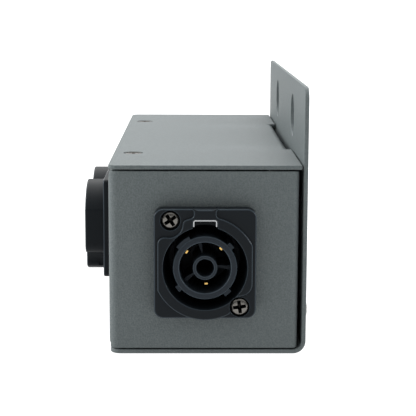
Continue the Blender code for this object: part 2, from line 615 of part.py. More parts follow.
def inlet_core(name, frame):
    """Insulator of the inlet: base disc, hub and three thin ribs that reach the keyed ring."""
    front = PLATE_FRONT + INLET_BOSS - INLET_CORE_SET_BACK
    hub_inner = HUB_RADIUS - HUB_WALL
    profile = [(0, BASE_BACK), (BASE_RADIUS, BASE_BACK), (BASE_RADIUS, BASE_FRONT), (HUB_RADIUS, BASE_FRONT)]
    profile += [(HUB_RADIUS, front), (hub_inner, front), (hub_inner, CORE_HOLE_BOTTOM), (0, CORE_HOLE_BOTTOM)]
    core = turned(name, profile, ROUND_SIDES, frame, BLACK_NYLON)
    ribs = []
    for k, angle in enumerate(RIB_ANGLES):
        inner = HUB_RADIUS - HUB_WALL / 2
        outer = RING_RADIUS - RING_WALL - SEAT_GAP
        half_hub = RIB_HUB_WIDTH / 2
        half_ring = RIB_RING_WIDTH / 2
        outline = [(inner, -half_hub), (outer, -half_ring), (outer, half_ring), (inner, half_hub)]
        turn = Matrix.Rotation(math.radians(angle), 2)
        turned_outline = [turn @ Vector(point) for point in outline]
        rib_name = name + "_rib_%d" % (k + 1)
        ribs.append(prism(rib_name, turned_outline, BASE_FRONT - RIB_ROOT, front - RIB_SET_BACK, frame))
    unite(core, *ribs)
    cut_contact_slots(core, name, frame, CONTACT_ANGLES, BASE_FRONT + OVERRUN)
    return core


def outlet_core(name, frame, angles):
    """Insulator of an outlet: base disc and a plug with a centre hole and contact slots."""
    front = PLATE_FRONT + OUTLET_COLLAR - OUTLET_CORE_SET_BACK
    profile = [(0, BASE_BACK), (BASE_RADIUS, BASE_BACK), (BASE_RADIUS, BASE_FRONT)]
    profile += [(OUTLET_CORE_RADIUS, BASE_FRONT), (OUTLET_CORE_RADIUS, front), (OUTLET_CORE_HOLE, front)]
    profile += [(OUTLET_CORE_HOLE, CORE_HOLE_BOTTOM), (0, CORE_HOLE_BOTTOM)]
    core = turned(name, profile, ROUND_SIDES, frame, BLACK_NYLON)
    cut_contact_slots(core, name, frame, angles, front + OVERRUN)
    return core


def contact_place(angle):
    """Middle of one contact in its connector's frame."""
    turn = math.radians(angle)
    return (CONTACT_CIRCLE * math.cos(turn), CONTACT_CIRCLE * math.sin(turn))


def child_empty(name, parent, location, rotation=(0, 0, 0)):
    """A frame inside another frame."""
    frame = bpy.data.objects.new(name, None)
    bpy.context.scene.collection.objects.link(frame)
    frame.parent = parent
    frame.location = location
    frame.rotation_euler = rotation
    return frame


def contact_frame(name, frame, angle):
    """A frame at one contact: x round the bore, y out of the panel, z away from the centre."""
    rotation = (math.pi / 2, 0, math.radians(angle) + math.pi / 2)
    return child_empty(name, frame, (*contact_place(angle), 0), rotation)


def contact(name, frame, angle, tip):
    """Flat brass contact with a tab at its rear end."""
    half = CONTACT_WIDTH / 2
    tab = TAB_WIDTH / 2
    shoulder = BASE_BACK + SEAT_GAP
    tail = BASE_BACK - TAB_LENGTH
    outline = [(-half + CONTACT_CHAMFER, tip), (-half, tip - CONTACT_CHAMFER), (-half, shoulder)]
    outline += [(-tab, shoulder), (-tab, tail + CONTACT_CHAMFER), (-tab + CONTACT_CHAMFER, tail)]
    outline += [(-x, y) for x, y in reversed(outline)]
    seat = contact_frame(name + "_frame", frame, angle)
    return prism(name, outline, -CONTACT_THICKNESS / 2, CONTACT_THICKNESS / 2, seat, BRASS)


def latch_plate(name, frame, boss_top):
    """Bent steel strip that lines the latch notch at the top of the bore."""
    side = LATCH_HALF_WIDTH
    top = LATCH_TOP
    foot = top - LATCH_LEG
    inner_side = side - LATCH_SHEET
    inner_top = top - LATCH_SHEET
    outline = [(-side, foot), (-inner_side, foot), (-inner_side, inner_top), (inner_side, inner_top)]
    outline += [(inner_side, foot), (side, foot), (side, top), (-side, top)]
    front = boss_top - LATCH_SET_BACK
    return prism(name, outline, front - LATCH_LENGTH, front, frame, SPRING_STEEL)


def connector(name, frame, drop, boss_height, angles, panel):
    """One complete connector, its fasteners and its holes in the panel."""
    boss_top = PLATE_FRONT + boss_height
    if name == "inlet":
        sizes = (INLET_PLATE_HEIGHT, INLET_PLATE_ROUND, drop, boss_height, inlet_bore())
        inlet_core(name + "_core", frame)
        inlet_ring(name + "_ring", frame)
        tip = boss_top - INLET_CORE_SET_BACK - CONTACT_SET_BACK
    else:
        sizes = (OUTLET_PLATE_HEIGHT, OUTLET_PLATE_ROUND, drop, boss_height, outlet_bore())
        outlet_core(name + "_core", frame, angles)
        tip = boss_top - OUTLET_CORE_SET_BACK - CONTACT_SET_BACK
    housing(name + "_housing", frame, *sizes)
    latch_plate(name + "_latch_plate", frame, boss_top)
    for pole, angle in angles.items():
        contact(name + "_contact_" + pole, frame, angle, tip)
    head = PLATE_FRONT - CONNECTOR_HEAD_DROP
    for number, place in screw_places(drop):
        seat = child_empty(name + "_screw_frame_%d" % number, frame, (*place, head))
        screw_name = name + "_screw_%d" % number
        sunk_screw(screw_name, seat, CONNECTOR_HEAD_RADIUS, CONNECTOR_HEAD_HEIGHT, CONNECTOR_SCREW_LENGTH)
        top = -SHEET - SEAT_GAP - head
        nut(name + "_bush_%d" % number, seat, BUSH_RADIUS, CLEAR_RADIUS, top, BUSH_HEIGHT)
    cut_panel_for_connector(panel, name, frame, drop)


def smooth_route(points, count):
    """Points along a smooth curve through the route's own points."""
    route = [Vector(point) for point in points]
    first = route[0] * 2 - route[1]
    last = route[-1] * 2 - route[-2]
    guide = [first] + route + [last]
    spans = len(route) - 1
    result = []
    for k in range(count + 1):
        place = spans * k / count
        span = min(int(place), spans - 1)
        t = place - span
        a, b, c, d = guide[span:span + 4]
        bend = 2 * a - 5 * b + 4 * c - d
        twist = 3 * b - a - 3 * c + d
        result.append(0.5 * (2 * b + (c - a) * t + bend * t * t + twist * t * t * t))
    return result


def wire_tube(name, points, count, surface=None):
    """A wire along a smooth route, with closed ends."""
    curve = bpy.data.curves.new(name, "CURVE")
    curve.dimensions = "3D"
    curve.bevel_depth = WIRE_RADIUS
    curve.bevel_resolution = WIRE_RESOLUTION
    curve.use_fill_caps = True
    spline = curve.splines.new("POLY")
    route = smooth_route(points, count)
    spline.points.add(len(route) - 1)
    for point, place in zip(spline.points, route):
        point.co = (*place, 1)
    guide = bpy.data.objects.new(name + "_route", curve)
    bpy.context.scene.collection.objects.link(guide)
    bpy.context.view_layer.update()
    mesh = bpy.data.meshes.new_from_object(guide.evaluated_get(bpy.context.evaluated_depsgraph_get()))
    bpy.data.objects.remove(guide, do_unlink=True)
    shape = bmesh.new()
    shape.from_mesh(mesh)
    return add_object(name, shape, None, surface)


def sleeve(name, frame, angle, surface=None):
    """Insulated receptacle on a contact's tab; its open end faces the insulator."""
    seat = contact_frame(name + "_frame", frame, angle)
    front = BASE_BACK - SEAT_GAP
    shape = cylinder(name, SLEEVE_RADIUS, -SLEEVE_LENGTH, 0, SMALL_SIDES, seat, surface)
    shape.rotation_euler = (-math.pi / 2, 0, 0)
    shape.location = (0, front, 0)
    half = TAB_WIDTH / 2 + SEAT_GAP
    depth = CONTACT_THICKNESS / 2 + SEAT_GAP
    tail = BASE_BACK - TAB_LENGTH - SEAT_GAP
    cavity = box(name + "_cavity", (-half, tail, -depth), (half, front + OVERRUN, depth), seat)
    return shape, cavity


def sleeve_end(frame, angle, inside):
    """World point on a sleeve's axis, measured forward from its rear end."""
    return frame.matrix_world @ Vector((*contact_place(angle), BASE_BACK - SEAT_GAP - SLEEVE_LENGTH + inside))


def mirrored(angles):
    """Contact angles of the mating half, seen from its own front."""
    return {pole: 180.0 - angle for pole, angle in angles.items()}


def between(start, end, offsets):
    """Places at even steps from start to end, each moved off the straight line by its offset."""
    share = 1 / (len(offsets) + 1)
    return [start.lerp(end, k * share) + Vector(offset) * MM for k, offset in enumerate(offsets, 1)]


def wiring(inlet, outlet_a, outlet_b):
    """One wire per pole from the inlet to the near outlet and on to the far one."""
    outlet_angles = mirrored(CONTACT_ANGLES)
    side = Vector((WIRE_OFFSET, 0, 0))
    lead_out = Vector((0, SLEEVE_GRIP + WIRE_LEAD, 0))
    for pole, (first_run, second_run) in WIRE_RUNS.items():
        surface = WIRE_COLOURS[pole]
        start = sleeve_end(inlet, CONTACT_ANGLES[pole], SLEEVE_GRIP)
        start_clear = start - Vector((SLEEVE_GRIP + WIRE_LEAD, 0, 0))
        near = sleeve_end(outlet_a, outlet_angles[pole], SLEEVE_GRIP)
        far = sleeve_end(outlet_b, outlet_angles[pole], SLEEVE_GRIP)
        arriving = near + side + lead_out
        first = [start, start_clear, *between(start_clear, arriving, first_run), arriving, near + side]
        leaving = near - side + lead_out
        last = far + side + lead_out
        second = [near - side, leaving, *between(leaving, last, second_run), last, far + side]
        harness, harness_cavity = sleeve("wire_" + pole, inlet, CONTACT_ANGLES[pole], surface)
        pieces = [
            wire_tube("wire_" + pole + "_inlet_run", first, INLET_RUN_POINTS),
            wire_tube("wire_" + pole + "_link_run", second, LINK_RUN_POINTS),
        ]
        cavities = [harness_cavity]
        for frame, label in ((outlet_a, "_near"), (outlet_b, "_far")):
            crimp, cavity = sleeve("wire_" + pole + label + "_sleeve", frame, outlet_angles[pole])
            pieces.append(crimp)
            cavities.append(cavity)
        unite(harness, *pieces)
        cut(harness, *cavities)


def earth_bond(outlet_b):
    """Earth stud on the bottom plate, its nut, and the bond wire with a ring terminal."""
    base = SHEET + SEAT_GAP
    frame = empty("earth_stud_frame", (STUD_PLACE[0], STUD_PLACE[1], base), UPRIGHT)
    profile = [(0, 0), (STUD_FOOT_RADIUS, 0), (STUD_FOOT_RADIUS, STUD_FOOT_HEIGHT)]
    profile += [(STUD_RADIUS, STUD_FOOT_HEIGHT), (STUD_RADIUS, STUD_HEIGHT), (0, STUD_HEIGHT)]
    turned("earth_stud", profile, SMALL_SIDES, frame, NICKEL)
    terminal_low = STUD_FOOT_HEIGHT + SEAT_GAP
    terminal_high = terminal_low + RING_TERMINAL_SHEET
    nut_top = terminal_high + SEAT_GAP + EARTH_NUT_HEIGHT
    bore = STUD_RADIUS + SEAT_GAP
    nut("earth_nut", frame, EARTH_NUT_RADIUS, bore, nut_top, EARTH_NUT_HEIGHT, NUT_SIDES)
    green = WIRE_COLOURS["earth"]
    disc = (RING_TERMINAL_RADIUS, terminal_low, terminal_high)
    terminal = cylinder("earth_bond_wire", *disc, SMALL_SIDES, frame, green)
    foot = Vector((*STUD_PLACE, base))
    crimp = sleeve_end(outlet_b, mirrored(CONTACT_ANGLES)["earth"], -SEAT_GAP) - Vector((WIRE_OFFSET, 0, 0))
    lead_out = crimp + Vector((0, BOND_LEAD, 0))
    rise = (terminal_low + terminal_high) / 2 + BOND_RISE
    landing = foot + Vector((RING_TERMINAL_RADIUS + BOND_LANDING[0], BOND_LANDING[1], rise))
    gripped = foot + Vector((RING_TERMINAL_RADIUS + BOND_GRIP, 0, rise))
    route = [crimp, lead_out, foot + Vector(BOND_MIDDLE), landing, gripped]
    run = wire_tube("earth_bond_run", route, BOND_RUN_POINTS)
    lug_low = (RING_TERMINAL_RADIUS - LUG_ROOT, -WIRE_RADIUS, terminal_low + LUG_INSET)
    lug_high = (RING_TERMINAL_RADIUS + LUG_REACH, WIRE_RADIUS, terminal_high - LUG_INSET)
    unite(terminal, box("earth_lug", lug_low, lug_high, frame), run)
    cut(terminal, cylinder("earth_terminal_hole", bore, 0, STUD_HEIGHT, SMALL_SIDES, frame))


def inlet_bore():
    """Stepped bore of the inlet housing, from its open rear to its mouth."""
    top = PLATE_FRONT + INLET_BOSS
    step = top - INLET_MOUTH_DEPTH
    shoulder = BASE_FRONT + SEAT_GAP
    rear = BASE_BACK - OVERRUN
    profile = [(0, rear), (REAR_BORE_RADIUS, rear), (REAR_BORE_RADIUS, shoulder)]
    profile += [(INLET_BORE_RADIUS, shoulder), (INLET_BORE_RADIUS, step), (INLET_MOUTH_RADIUS, step)]
    return profile + [(INLET_MOUTH_RADIUS, top + OVERRUN), (0, top + OVERRUN)]


def outlet_bore():
    """Stepped bore of an outlet housing."""
    top = PLATE_FRONT + OUTLET_COLLAR + OVERRUN
    shoulder = BASE_FRONT + SEAT_GAP
    rear = BASE_BACK - OVERRUN
    profile = [(0, rear), (REAR_BORE_RADIUS, rear), (REAR_BORE_RADIUS, shoulder)]
    return profile + [(OUTLET_BORE_RADIUS, shoulder), (OUTLET_BORE_RADIUS, top), (0, top)]


base_bracket()
PANEL = body_panel()
top_cover()
case_screws()
INLET = empty("inlet_frame", (END, 0, INLET_HEIGHT - INLET_BORE_DROP), ENDWARD)
connector("inlet", INLET, INLET_BORE_DROP, INLET_BOSS, CONTACT_ANGLES, PANEL)
OUTLETS = []
for label, offset in (("outlet_a", OUTLET_PITCH / 2), ("outlet_b", -OUTLET_PITCH / 2)):
    bore_place = (OUTLET_SHIFT + offset, BODY_FRONT, OUTLET_HEIGHT - OUTLET_BORE_DROP)
    OUTLETS.append(empty(label + "_frame", bore_place, FRONTWARD))
    connector(label, OUTLETS[-1], OUTLET_BORE_DROP, OUTLET_COLLAR, mirrored(CONTACT_ANGLES), PANEL)
bpy.context.view_layer.update()
wiring(INLET, *OUTLETS)
earth_bond(OUTLETS[1])
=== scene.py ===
import math

import bmesh
import bpy
import numpy as np
from mathutils import Matrix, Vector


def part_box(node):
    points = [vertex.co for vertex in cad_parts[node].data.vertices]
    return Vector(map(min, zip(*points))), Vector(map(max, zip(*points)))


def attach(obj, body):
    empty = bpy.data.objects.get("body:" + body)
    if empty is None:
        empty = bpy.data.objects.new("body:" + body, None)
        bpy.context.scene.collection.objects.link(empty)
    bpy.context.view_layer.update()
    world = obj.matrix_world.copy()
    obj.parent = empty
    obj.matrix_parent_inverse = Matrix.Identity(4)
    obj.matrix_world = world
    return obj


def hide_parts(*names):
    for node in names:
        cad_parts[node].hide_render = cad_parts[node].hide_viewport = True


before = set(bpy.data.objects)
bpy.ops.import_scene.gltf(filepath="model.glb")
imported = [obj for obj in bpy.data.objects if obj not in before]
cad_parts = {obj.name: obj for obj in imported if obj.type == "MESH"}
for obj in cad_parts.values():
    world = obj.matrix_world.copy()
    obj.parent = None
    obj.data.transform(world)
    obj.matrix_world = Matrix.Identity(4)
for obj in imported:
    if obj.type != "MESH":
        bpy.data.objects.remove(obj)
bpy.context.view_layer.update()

MM = 0.001

# Base bracket
# One blank of 1.2 mm steel sheet, punched, then folded once behind the bottom plate so that its back
# rises past the cover as the mounting flange. It is powder coated after folding, which softens its edges.
SHEET = 1.2 * MM
SHEET_EDGE = 0.28 * MM
BRACKET_BEND = 3.5 * MM
PLATE_CORNER = 3.0 * MM
FLANGE_CORNER = 4.0 * MM
HANG_HOLE_RADIUS = 6.35 * MM
HANG_HOLE_SPACING = 67.2 * MM
HANG_HOLE_RISE = 9.9 * MM
SCREW_HOLE_RADIUS = 1.8 * MM
SCREW_HOLE_EDGE = 0.15 * MM
COUNTERSINK_RADIUS = 2.9 * MM
COUNTERSINK_DEPTHS = (0.2 * SHEET, 0.95 * SHEET)
PAST = 2 * MM  # how far a cutter runs on past a face
SHARP_TURN = math.radians(32)
QUARTER = math.pi / 2
bracket_low, bracket_high = np.array(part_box("base_bracket"))
cover_low, cover_high = np.array(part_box("top_cover"))


def rounded(corners, radii, steps=6):
    """Outline through corners that are rounded by arcs. With unit vectors a and b from a corner to its
    neighbours and p the angle between them, the arc's centre lies r / sin(p / 2) along a + b, and it
    runs from where it touches one side to where it touches the other."""
    corner = np.array(corners, float)
    radius = np.broadcast_to(np.array(radii, float), len(corner))[:, None]
    back = np.roll(corner, 1, axis=0) - corner
    ahead = np.roll(corner, -1, axis=0) - corner
    back /= np.linalg.norm(back, axis=1)[:, None]
    ahead /= np.linalg.norm(ahead, axis=1)[:, None]
    half = np.arccos(np.clip((back * ahead).sum(axis=1), -1, 1))[:, None] / 2
    bisector = (back + ahead) / np.linalg.norm(back + ahead, axis=1)[:, None]
    centre = corner + bisector * radius / np.sin(half)
    touch = radius / np.tan(half)
    first = corner + back * touch - centre
    last = corner + ahead * touch - centre
    swing = (math.pi - 2 * half)[:, None]
    share = np.linspace(0, 1, steps + 1)[None, :, None]
    turned_arm = first[:, None] * np.sin((1 - share) * swing) + last[:, None] * np.sin(share * swing)
    return (centre[:, None] + turned_arm / np.sin(swing)).reshape(-1, 2)


def oblong(low, high, radii, steps=6):
    """A rectangle between its lower left and upper right corners, with its corners rounded."""
    return rounded([(low[0], low[1]), (high[0], low[1]), (high[0], high[1]), (low[0], high[1])], radii, steps)


def full_turn(sides):
    """Angles at even steps round a full turn."""
    return np.linspace(0, 2 * math.pi, sides, endpoint=False)


def circle(radius, centre=(0, 0), sides=64):
    """Points at even angles round a centre."""
    turn = full_turn(sides)
    return np.array(centre) + radius * np.stack([np.cos(turn), np.sin(turn)], axis=1)


def drawn_in(outline, amount):
    """The outline moved inwards: each point moves against the sum of its two sides' outward normals,
    divided by one plus their product, so that straight sides move by the amount itself."""
    side = np.roll(outline, -1, axis=0) - outline
    normal = np.stack([side[:, 1], -side[:, 0]], axis=1) / np.linalg.norm(side, axis=1)[:, None]
    before = np.roll(normal, 1, axis=0)
    mitre = (normal + before) / (1 + (normal * before).sum(axis=1))[:, None]
    return outline - amount * mitre


def stacked(outline, insets, heights):
    """Rings of one outline: ring k is drawn in by inset k and lies at height k."""
    rings = []
    for inset, height in zip(insets, heights):
        rings.append(np.column_stack([drawn_in(outline, inset), np.full(len(outline), height)]))
    return np.array(rings)


def placed(name, data):
    """An object for a mesh, a lamp or a lens, in the scene."""
    made = bpy.data.objects.new(name, data)
    bpy.context.scene.collection.objects.link(made)
    return made


def skin(name, rings, ends=True):
    """A closed surface over a grid of points. Four-sided faces join each ring to the next; one face
    closes each end, or the last ring joins the first where ends is false."""
    rows, columns = rings.shape[:2]
    corner = np.arange(rows * columns).reshape(rows, columns)
    upper = np.roll(corner, -1, axis=0)
    if ends:
        corner, upper = corner[:-1], upper[:-1]
    quads = np.stack([corner, np.roll(corner, -1, axis=1), np.roll(upper, -1, axis=1), upper], axis=-1)
    faces = quads.reshape(-1, 4).tolist()
    if ends:
        faces += [list(range(columns))[::-1], list(range((rows - 1) * columns, rows * columns))]
    mesh = bpy.data.meshes.new(name)
    mesh.from_pydata(rings.reshape(-1, 3).tolist(), [], faces)
    return placed(name, mesh)


def quarter_round(radius, steps=4):
    """A quarter circle as two rows: how far it is drawn in, from radius to nothing, and how far it has
    risen, from nothing to radius."""
    turn = np.linspace(0, QUARTER, steps + 1)
    return radius * (1 - np.sin(turn)), radius * (1 - np.cos(turn))


def slab(name, outline, low, high, edge):
    """A flat piece between two heights whose rims are rounded by quarter circles."""
    inset, rise = quarter_round(edge)
    insets = np.concatenate([inset, inset[::-1]])
    heights = np.concatenate([low + rise, high - rise[::-1]])
    return skin(name, stacked(outline, insets, heights))


def punch(outline, low, high, flare=SHEET_EDGE):
    """A cutter whose ends open out by a quarter circle at both faces, so that the hole's rims are
    rounded, and run on past them."""
    inset, rise = quarter_round(flare)
    insets = -np.concatenate([[flare], inset, inset[::-1], [flare]])
    heights = np.concatenate([[low - PAST], low + rise, high - rise[::-1], [high + PAST]])
    return skin("cutter", stacked(outline, insets, heights))


def screw_hole(place, flare=SHEET_EDGE):
    """A cutter for a screw's clearance hole through the sheet."""
    return punch(circle(SCREW_HOLE_RADIUS, place, 32), 0, SHEET, flare)


def moved(piece, place):
    """Runs a piece's points through a function of an n by 3 array."""
    points = np.empty(len(piece.data.vertices) * 3)
    piece.data.vertices.foreach_get("co", points)
    piece.data.vertices.foreach_set("co", place(points.reshape(-1, 3)).ravel())
    piece.data.update()
    return piece


def carve(piece, tools, operation="DIFFERENCE"):
    """Cuts the tools from the piece, or unites it with them, and throws the tools away."""
    for tool in tools:
        step = piece.modifiers.new("carve", "BOOLEAN")
        step.operation = operation
        step.solver = "EXACT"
        step.object = tool
    bpy.context.view_layer.update()
    worked = piece.evaluated_get(bpy.context.evaluated_depsgraph_get())
    mesh = bpy.data.meshes.new_from_object(worked)
    piece.modifiers.clear()
    piece.data = mesh
    for tool in tools:
        bpy.data.objects.remove(tool, do_unlink=True)


def creased(piece, lines):
    """Splits the faces of a flat blank along lines of one coordinate, where its folds will run."""
    shape = bmesh.new()
    shape.from_mesh(piece.data)
    for along, value in lines:
        normal = [0, 0, 0]
        normal[along] = 1
        point = [value if axis == along else 0 for axis in range(3)]
        everything = shape.verts[:] + shape.edges[:] + shape.faces[:]
        bmesh.ops.bisect_plane(shape, geom=everything, plane_co=point, plane_no=normal, dist=1e-7)
    shape.to_mesh(piece.data)
    shape.free()


def fold_lines(along, side, start, outer, steps=8):
    """Where a right-angled fold begins and ends, and even steps between, in the flat blank."""
    arc_length = (outer - SHEET / 2) * QUARTER
    return [(along, side * (start + arc_length * k / steps)) for k in range(steps + 1)]


def folded(points, along, side, start, outer, chosen=None):
    """Folds a flat sheet by a right angle. Past the start line a point's run along the sheet becomes a
    turn round a centre that lies one outer radius above the sheet's outer face, measured on the
    sheet's middle; what is left of the run goes on square to the rest."""
    run = side * points[:, along] - start
    neutral = outer - SHEET / 2
    turn = np.clip(run / neutral, 0, QUARTER)
    rest = np.maximum(run - neutral * QUARTER, 0)
    reach = outer - points[:, 2]
    past = run > 0 if chosen is None else (run > 0) & chosen
    result = points.copy()
    result[past, along] = side * (start + reach * np.sin(turn))[past]
    result[past, 2] = (outer - reach * np.cos(turn) + rest)[past]
    return result


def settle(piece, nodes, finish, body="case"):
    """Cleans a finished mesh, shades it smooth up to the sharp angle, gives it the material of its finish,
    which is a material and its slot's name, and puts it in the place of its nodes."""
    shape = bmesh.new()
    shape.from_mesh(piece.data)
    bmesh.ops.remove_doubles(shape, verts=shape.verts, dist=1e-6)
    bmesh.ops.dissolve_degenerate(shape, edges=shape.edges, dist=1e-6)
    bmesh.ops.recalc_face_normals(shape, faces=shape.faces)
    shape.to_mesh(piece.data)
    shape.free()
    piece.data.shade_smooth()
    piece.data.set_sharp_from_angle(angle=SHARP_TURN)
    weigh = piece.modifiers.new("even shading", "WEIGHTED_NORMAL")
    weigh.keep_sharp = True
    material, slot = finish
    piece.data.materials.clear()
    piece.data.materials.append(material)
    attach(piece, body)
    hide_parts(*([nodes] if isinstance(nodes, str) else nodes))


def colour(code):
    """An sRGB hex colour as linear red, green, blue and alpha."""
    part = np.array([int(code[k:k + 2], 16) for k in (1, 3, 5)]) / 255
    linear = np.where(part <= 0.04045, part / 12.92, ((part + 0.055) / 1.055) ** 2.4)
    return (*linear.tolist(), 1.0)


def node(tree, kind, settings=None, *sources, **links):
    """Adds one shader node. Settings are its properties and unlinked sockets. Sources run into its
    sockets in order, and a link names the socket that it runs into, with underscores for spaces."""
    made = tree.nodes.new("ShaderNode" + kind)
    for key, value in (settings or {}).items():
        if hasattr(made, key):
            setattr(made, key, value)
        else:
            made.inputs[key].default_value = value
    for place, source in enumerate(sources):
        tree.links.new(source, made.inputs[place])
    for key, source in links.items():
        tree.links.new(source, made.inputs[key.replace("_", " ")])
    return made


def finish_of(name, base, roughness, metallic=0.0, **more):
    """A material with its Principled shader set: base colour, roughness, metallic and other sockets."""
    made = bpy.data.materials.new(name)
    made.use_nodes = True
    shader = made.node_tree.nodes["Principled BSDF"]
    shader.inputs["Base Color"].default_value = colour(base)
    shader.inputs["Roughness"].default_value = roughness
    shader.inputs["Metallic"].default_value = metallic
    for key, value in more.items():
        shader.inputs[key.replace("_", " ")].default_value = value
    return made, made.node_tree, shader


def grain(tree, shader, size, depth, strength, detail=2.0):
    """Bump from noise on Object coordinates whose lumps are as wide as size; returns the coordinates."""
    place = node(tree, "TexCoord").outputs["Object"]
    noise = node(tree, "TexNoise", {"Scale": 1 / (2 * size), "Detail": detail}, place)
    lumps = noise.outputs["Fac"]
    bump = node(tree, "Bump", {"Distance": depth, "Strength": strength}, Height=lumps)
    tree.links.new(bump.outputs["Normal"], shader.inputs["Normal"])
    return place


def powder_coat():
    """Fine-textured grey epoxy-polyester powder, baked on: lumps just under half a millimetre apart that
    break up a dull gloss, and a very slight mottling of the grey between them."""
    made, tree, shader = finish_of("grey textured powder coat", "#515758", 0.55, Specular_IOR_Level=0.25)
    place = grain(tree, shader, 0.2 * MM, 0.12 * MM, 1.0)
    mottle = node(tree, "TexNoise", {"Scale": 1 / (0.4 * MM), "Detail": 2.0}, place)
    tint = node(tree, "ValToRGB", {}, mottle.outputs["Fac"])
    for stop, position, code in zip(tint.color_ramp.elements, (0.3, 0.7), ("#4B5253", "#5C6364")):
        stop.position = position
        stop.color = colour(code)
    tree.links.new(tint.outputs["Color"], shader.inputs["Base Color"])
    return made, "grey_powder_coat"


POWDER_COAT = powder_coat()

fold_start = bracket_high[1] - BRACKET_BEND
flat_shift = (BRACKET_BEND - SHEET / 2) * QUARTER - BRACKET_BEND
blank_top = fold_start + flat_shift + bracket_high[2]
bracket_radii = [PLATE_CORNER, PLATE_CORNER, FLANGE_CORNER, FLANGE_CORNER]
bracket_outline = oblong(bracket_low, (bracket_high[0], blank_top), bracket_radii, 10)
bracket = slab("base_bracket_sheet", bracket_outline, 0, SHEET, SHEET_EDGE)


def countersink(centre):
    """A cutter for a countersunk hole from the outer face at height 0: a cone between two cylinders."""
    wider = SCREW_HOLE_RADIUS - COUNTERSINK_RADIUS
    shallow, deep = COUNTERSINK_DEPTHS
    hole = circle(SCREW_HOLE_RADIUS, centre, 32)
    return skin("cutter", stacked(hole, [0, 0, wider, wider], [SHEET + PAST, deep, shallow, -PAST])[::-1])


def middle(*names):
    """The middle of the box round some nodes."""
    boxes = np.array([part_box(name) for name in names])
    return (boxes[:, 0].min(axis=0) + boxes[:, 1].max(axis=0)) / 2


tools = []
for number, side in ((1, 1), (2, -1)):
    hang = (side * HANG_HOLE_SPACING / 2, fold_start + flat_shift + cover_high[2] + HANG_HOLE_RISE)
    tools.append(punch(circle(HANG_HOLE_RADIUS, hang), 0, SHEET))
    rear = middle(f"rear_screw_{number}")
    tools.append(screw_hole((rear[0], fold_start + flat_shift + rear[2]), SCREW_HOLE_EDGE))
    tools.append(countersink(middle(f"bottom_screw_{number}")[:2]))
carve(bracket, tools)
creased(bracket, fold_lines(1, 1, fold_start, BRACKET_BEND))
moved(bracket, lambda points: folded(points, 1, 1, fold_start, BRACKET_BEND))
settle(bracket, "base_bracket", POWDER_COAT)

# Body panel
# Front and both end faces from one blank, folded round the inside: two folds at the front corners,
# two returns behind, and a lip along the top and bottom of the front that the cover and plate screw to.
BODY_BEND = 2.5 * MM
BODY_REAR_BEND = 1.6 * MM
LIP_BEND = 1.6 * MM
LIP_DEPTH = 11.0 * MM
LIP_GAP = 0.4 * MM
LIP_RELIEF = 1.2 * MM
RELIEF_PAST_FOLD = 0.3 * MM
RETURN_WIDTH = 21.0 * MM
FREE_CORNER = 1.08 * MM
RELIEF_CORNER = 0.36 * MM
PANEL_HOLE_RADIUS = 12.0 * MM
SCREW_ACROSS = 19.0 * MM
SCREW_UP = 24.0 * MM
panel_low, panel_high = np.array(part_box("body_panel"))
panel_middle = (panel_low[2] + panel_high[2]) / 2
half_height = (panel_high[2] - panel_low[2]) / 2
end_fold = panel_high[0] - BODY_BEND
end_length = (BODY_BEND - SHEET / 2) * QUARTER
rear_fold = end_fold + end_length + panel_high[1] - panel_low[1] - BODY_BEND - BODY_REAR_BEND
blank_end = rear_fold + (BODY_REAR_BEND - SHEET / 2) * QUARTER + RETURN_WIDTH - BODY_REAR_BEND
lip_fold = half_height - LIP_BEND
lip_end = lip_fold + (LIP_BEND - SHEET / 2) * QUARTER + LIP_DEPTH - LIP_BEND
lip_half = end_fold - LIP_GAP
relief_foot = lip_fold - RELIEF_PAST_FOLD


def both_sides(points, mirror=(-1, 1)):
    """One half of an outline and then its mirror image, as one run of points."""
    points = np.array(points)
    return np.concatenate([points, (points * mirror)[::-1]])


upper = both_sides([
    (blank_end, half_height),
    (lip_half + LIP_RELIEF, half_height),
    (lip_half + LIP_RELIEF, relief_foot),
    (lip_half, relief_foot),
    (lip_half, lip_end),
])
panel_outline = np.concatenate([upper, -upper])
side_radii = [FREE_CORNER, RELIEF_CORNER, RELIEF_CORNER, RELIEF_CORNER, FREE_CORNER]
corner_radii = (side_radii + side_radii[::-1]) * 2
panel = slab("body_panel_sheet", rounded(panel_outline, corner_radii), 0, SHEET, SHEET_EDGE)


class Seat:
    """Where a connector sits: its bore's axis on the panel's outer face, and the directions in which
    its own x, y and z run."""

    def __init__(self, origin, axes, drop):
        self.origin = np.array(origin)
        self.axes = np.array(axes, float)
        self.drop = drop
        across = SCREW_ACROSS / 2
        up = SCREW_UP / 2
        self.screws = {1: (-across, drop + up), 2: (across, drop - up)}

    def world(self, points):
        """Connector coordinates as world coordinates."""
        return self.origin + points @ self.axes


def seat_of(name):
    """A connector's seat, read from the middles of its core and of its two screws."""
    core = middle(name + "_core")
    screws = middle(name + "_screw_1", name + "_screw_2")
    drop = screws[2] - core[2]
    if name == "inlet":
        return Seat((panel_high[0], core[1], core[2]), [(0, 1, 0), (0, 0, 1), (1, 0, 0)], drop)
    return Seat((core[0], panel_low[1], core[2]), [(1, 0, 0), (0, 0, 1), (0, -1, 0)], drop)


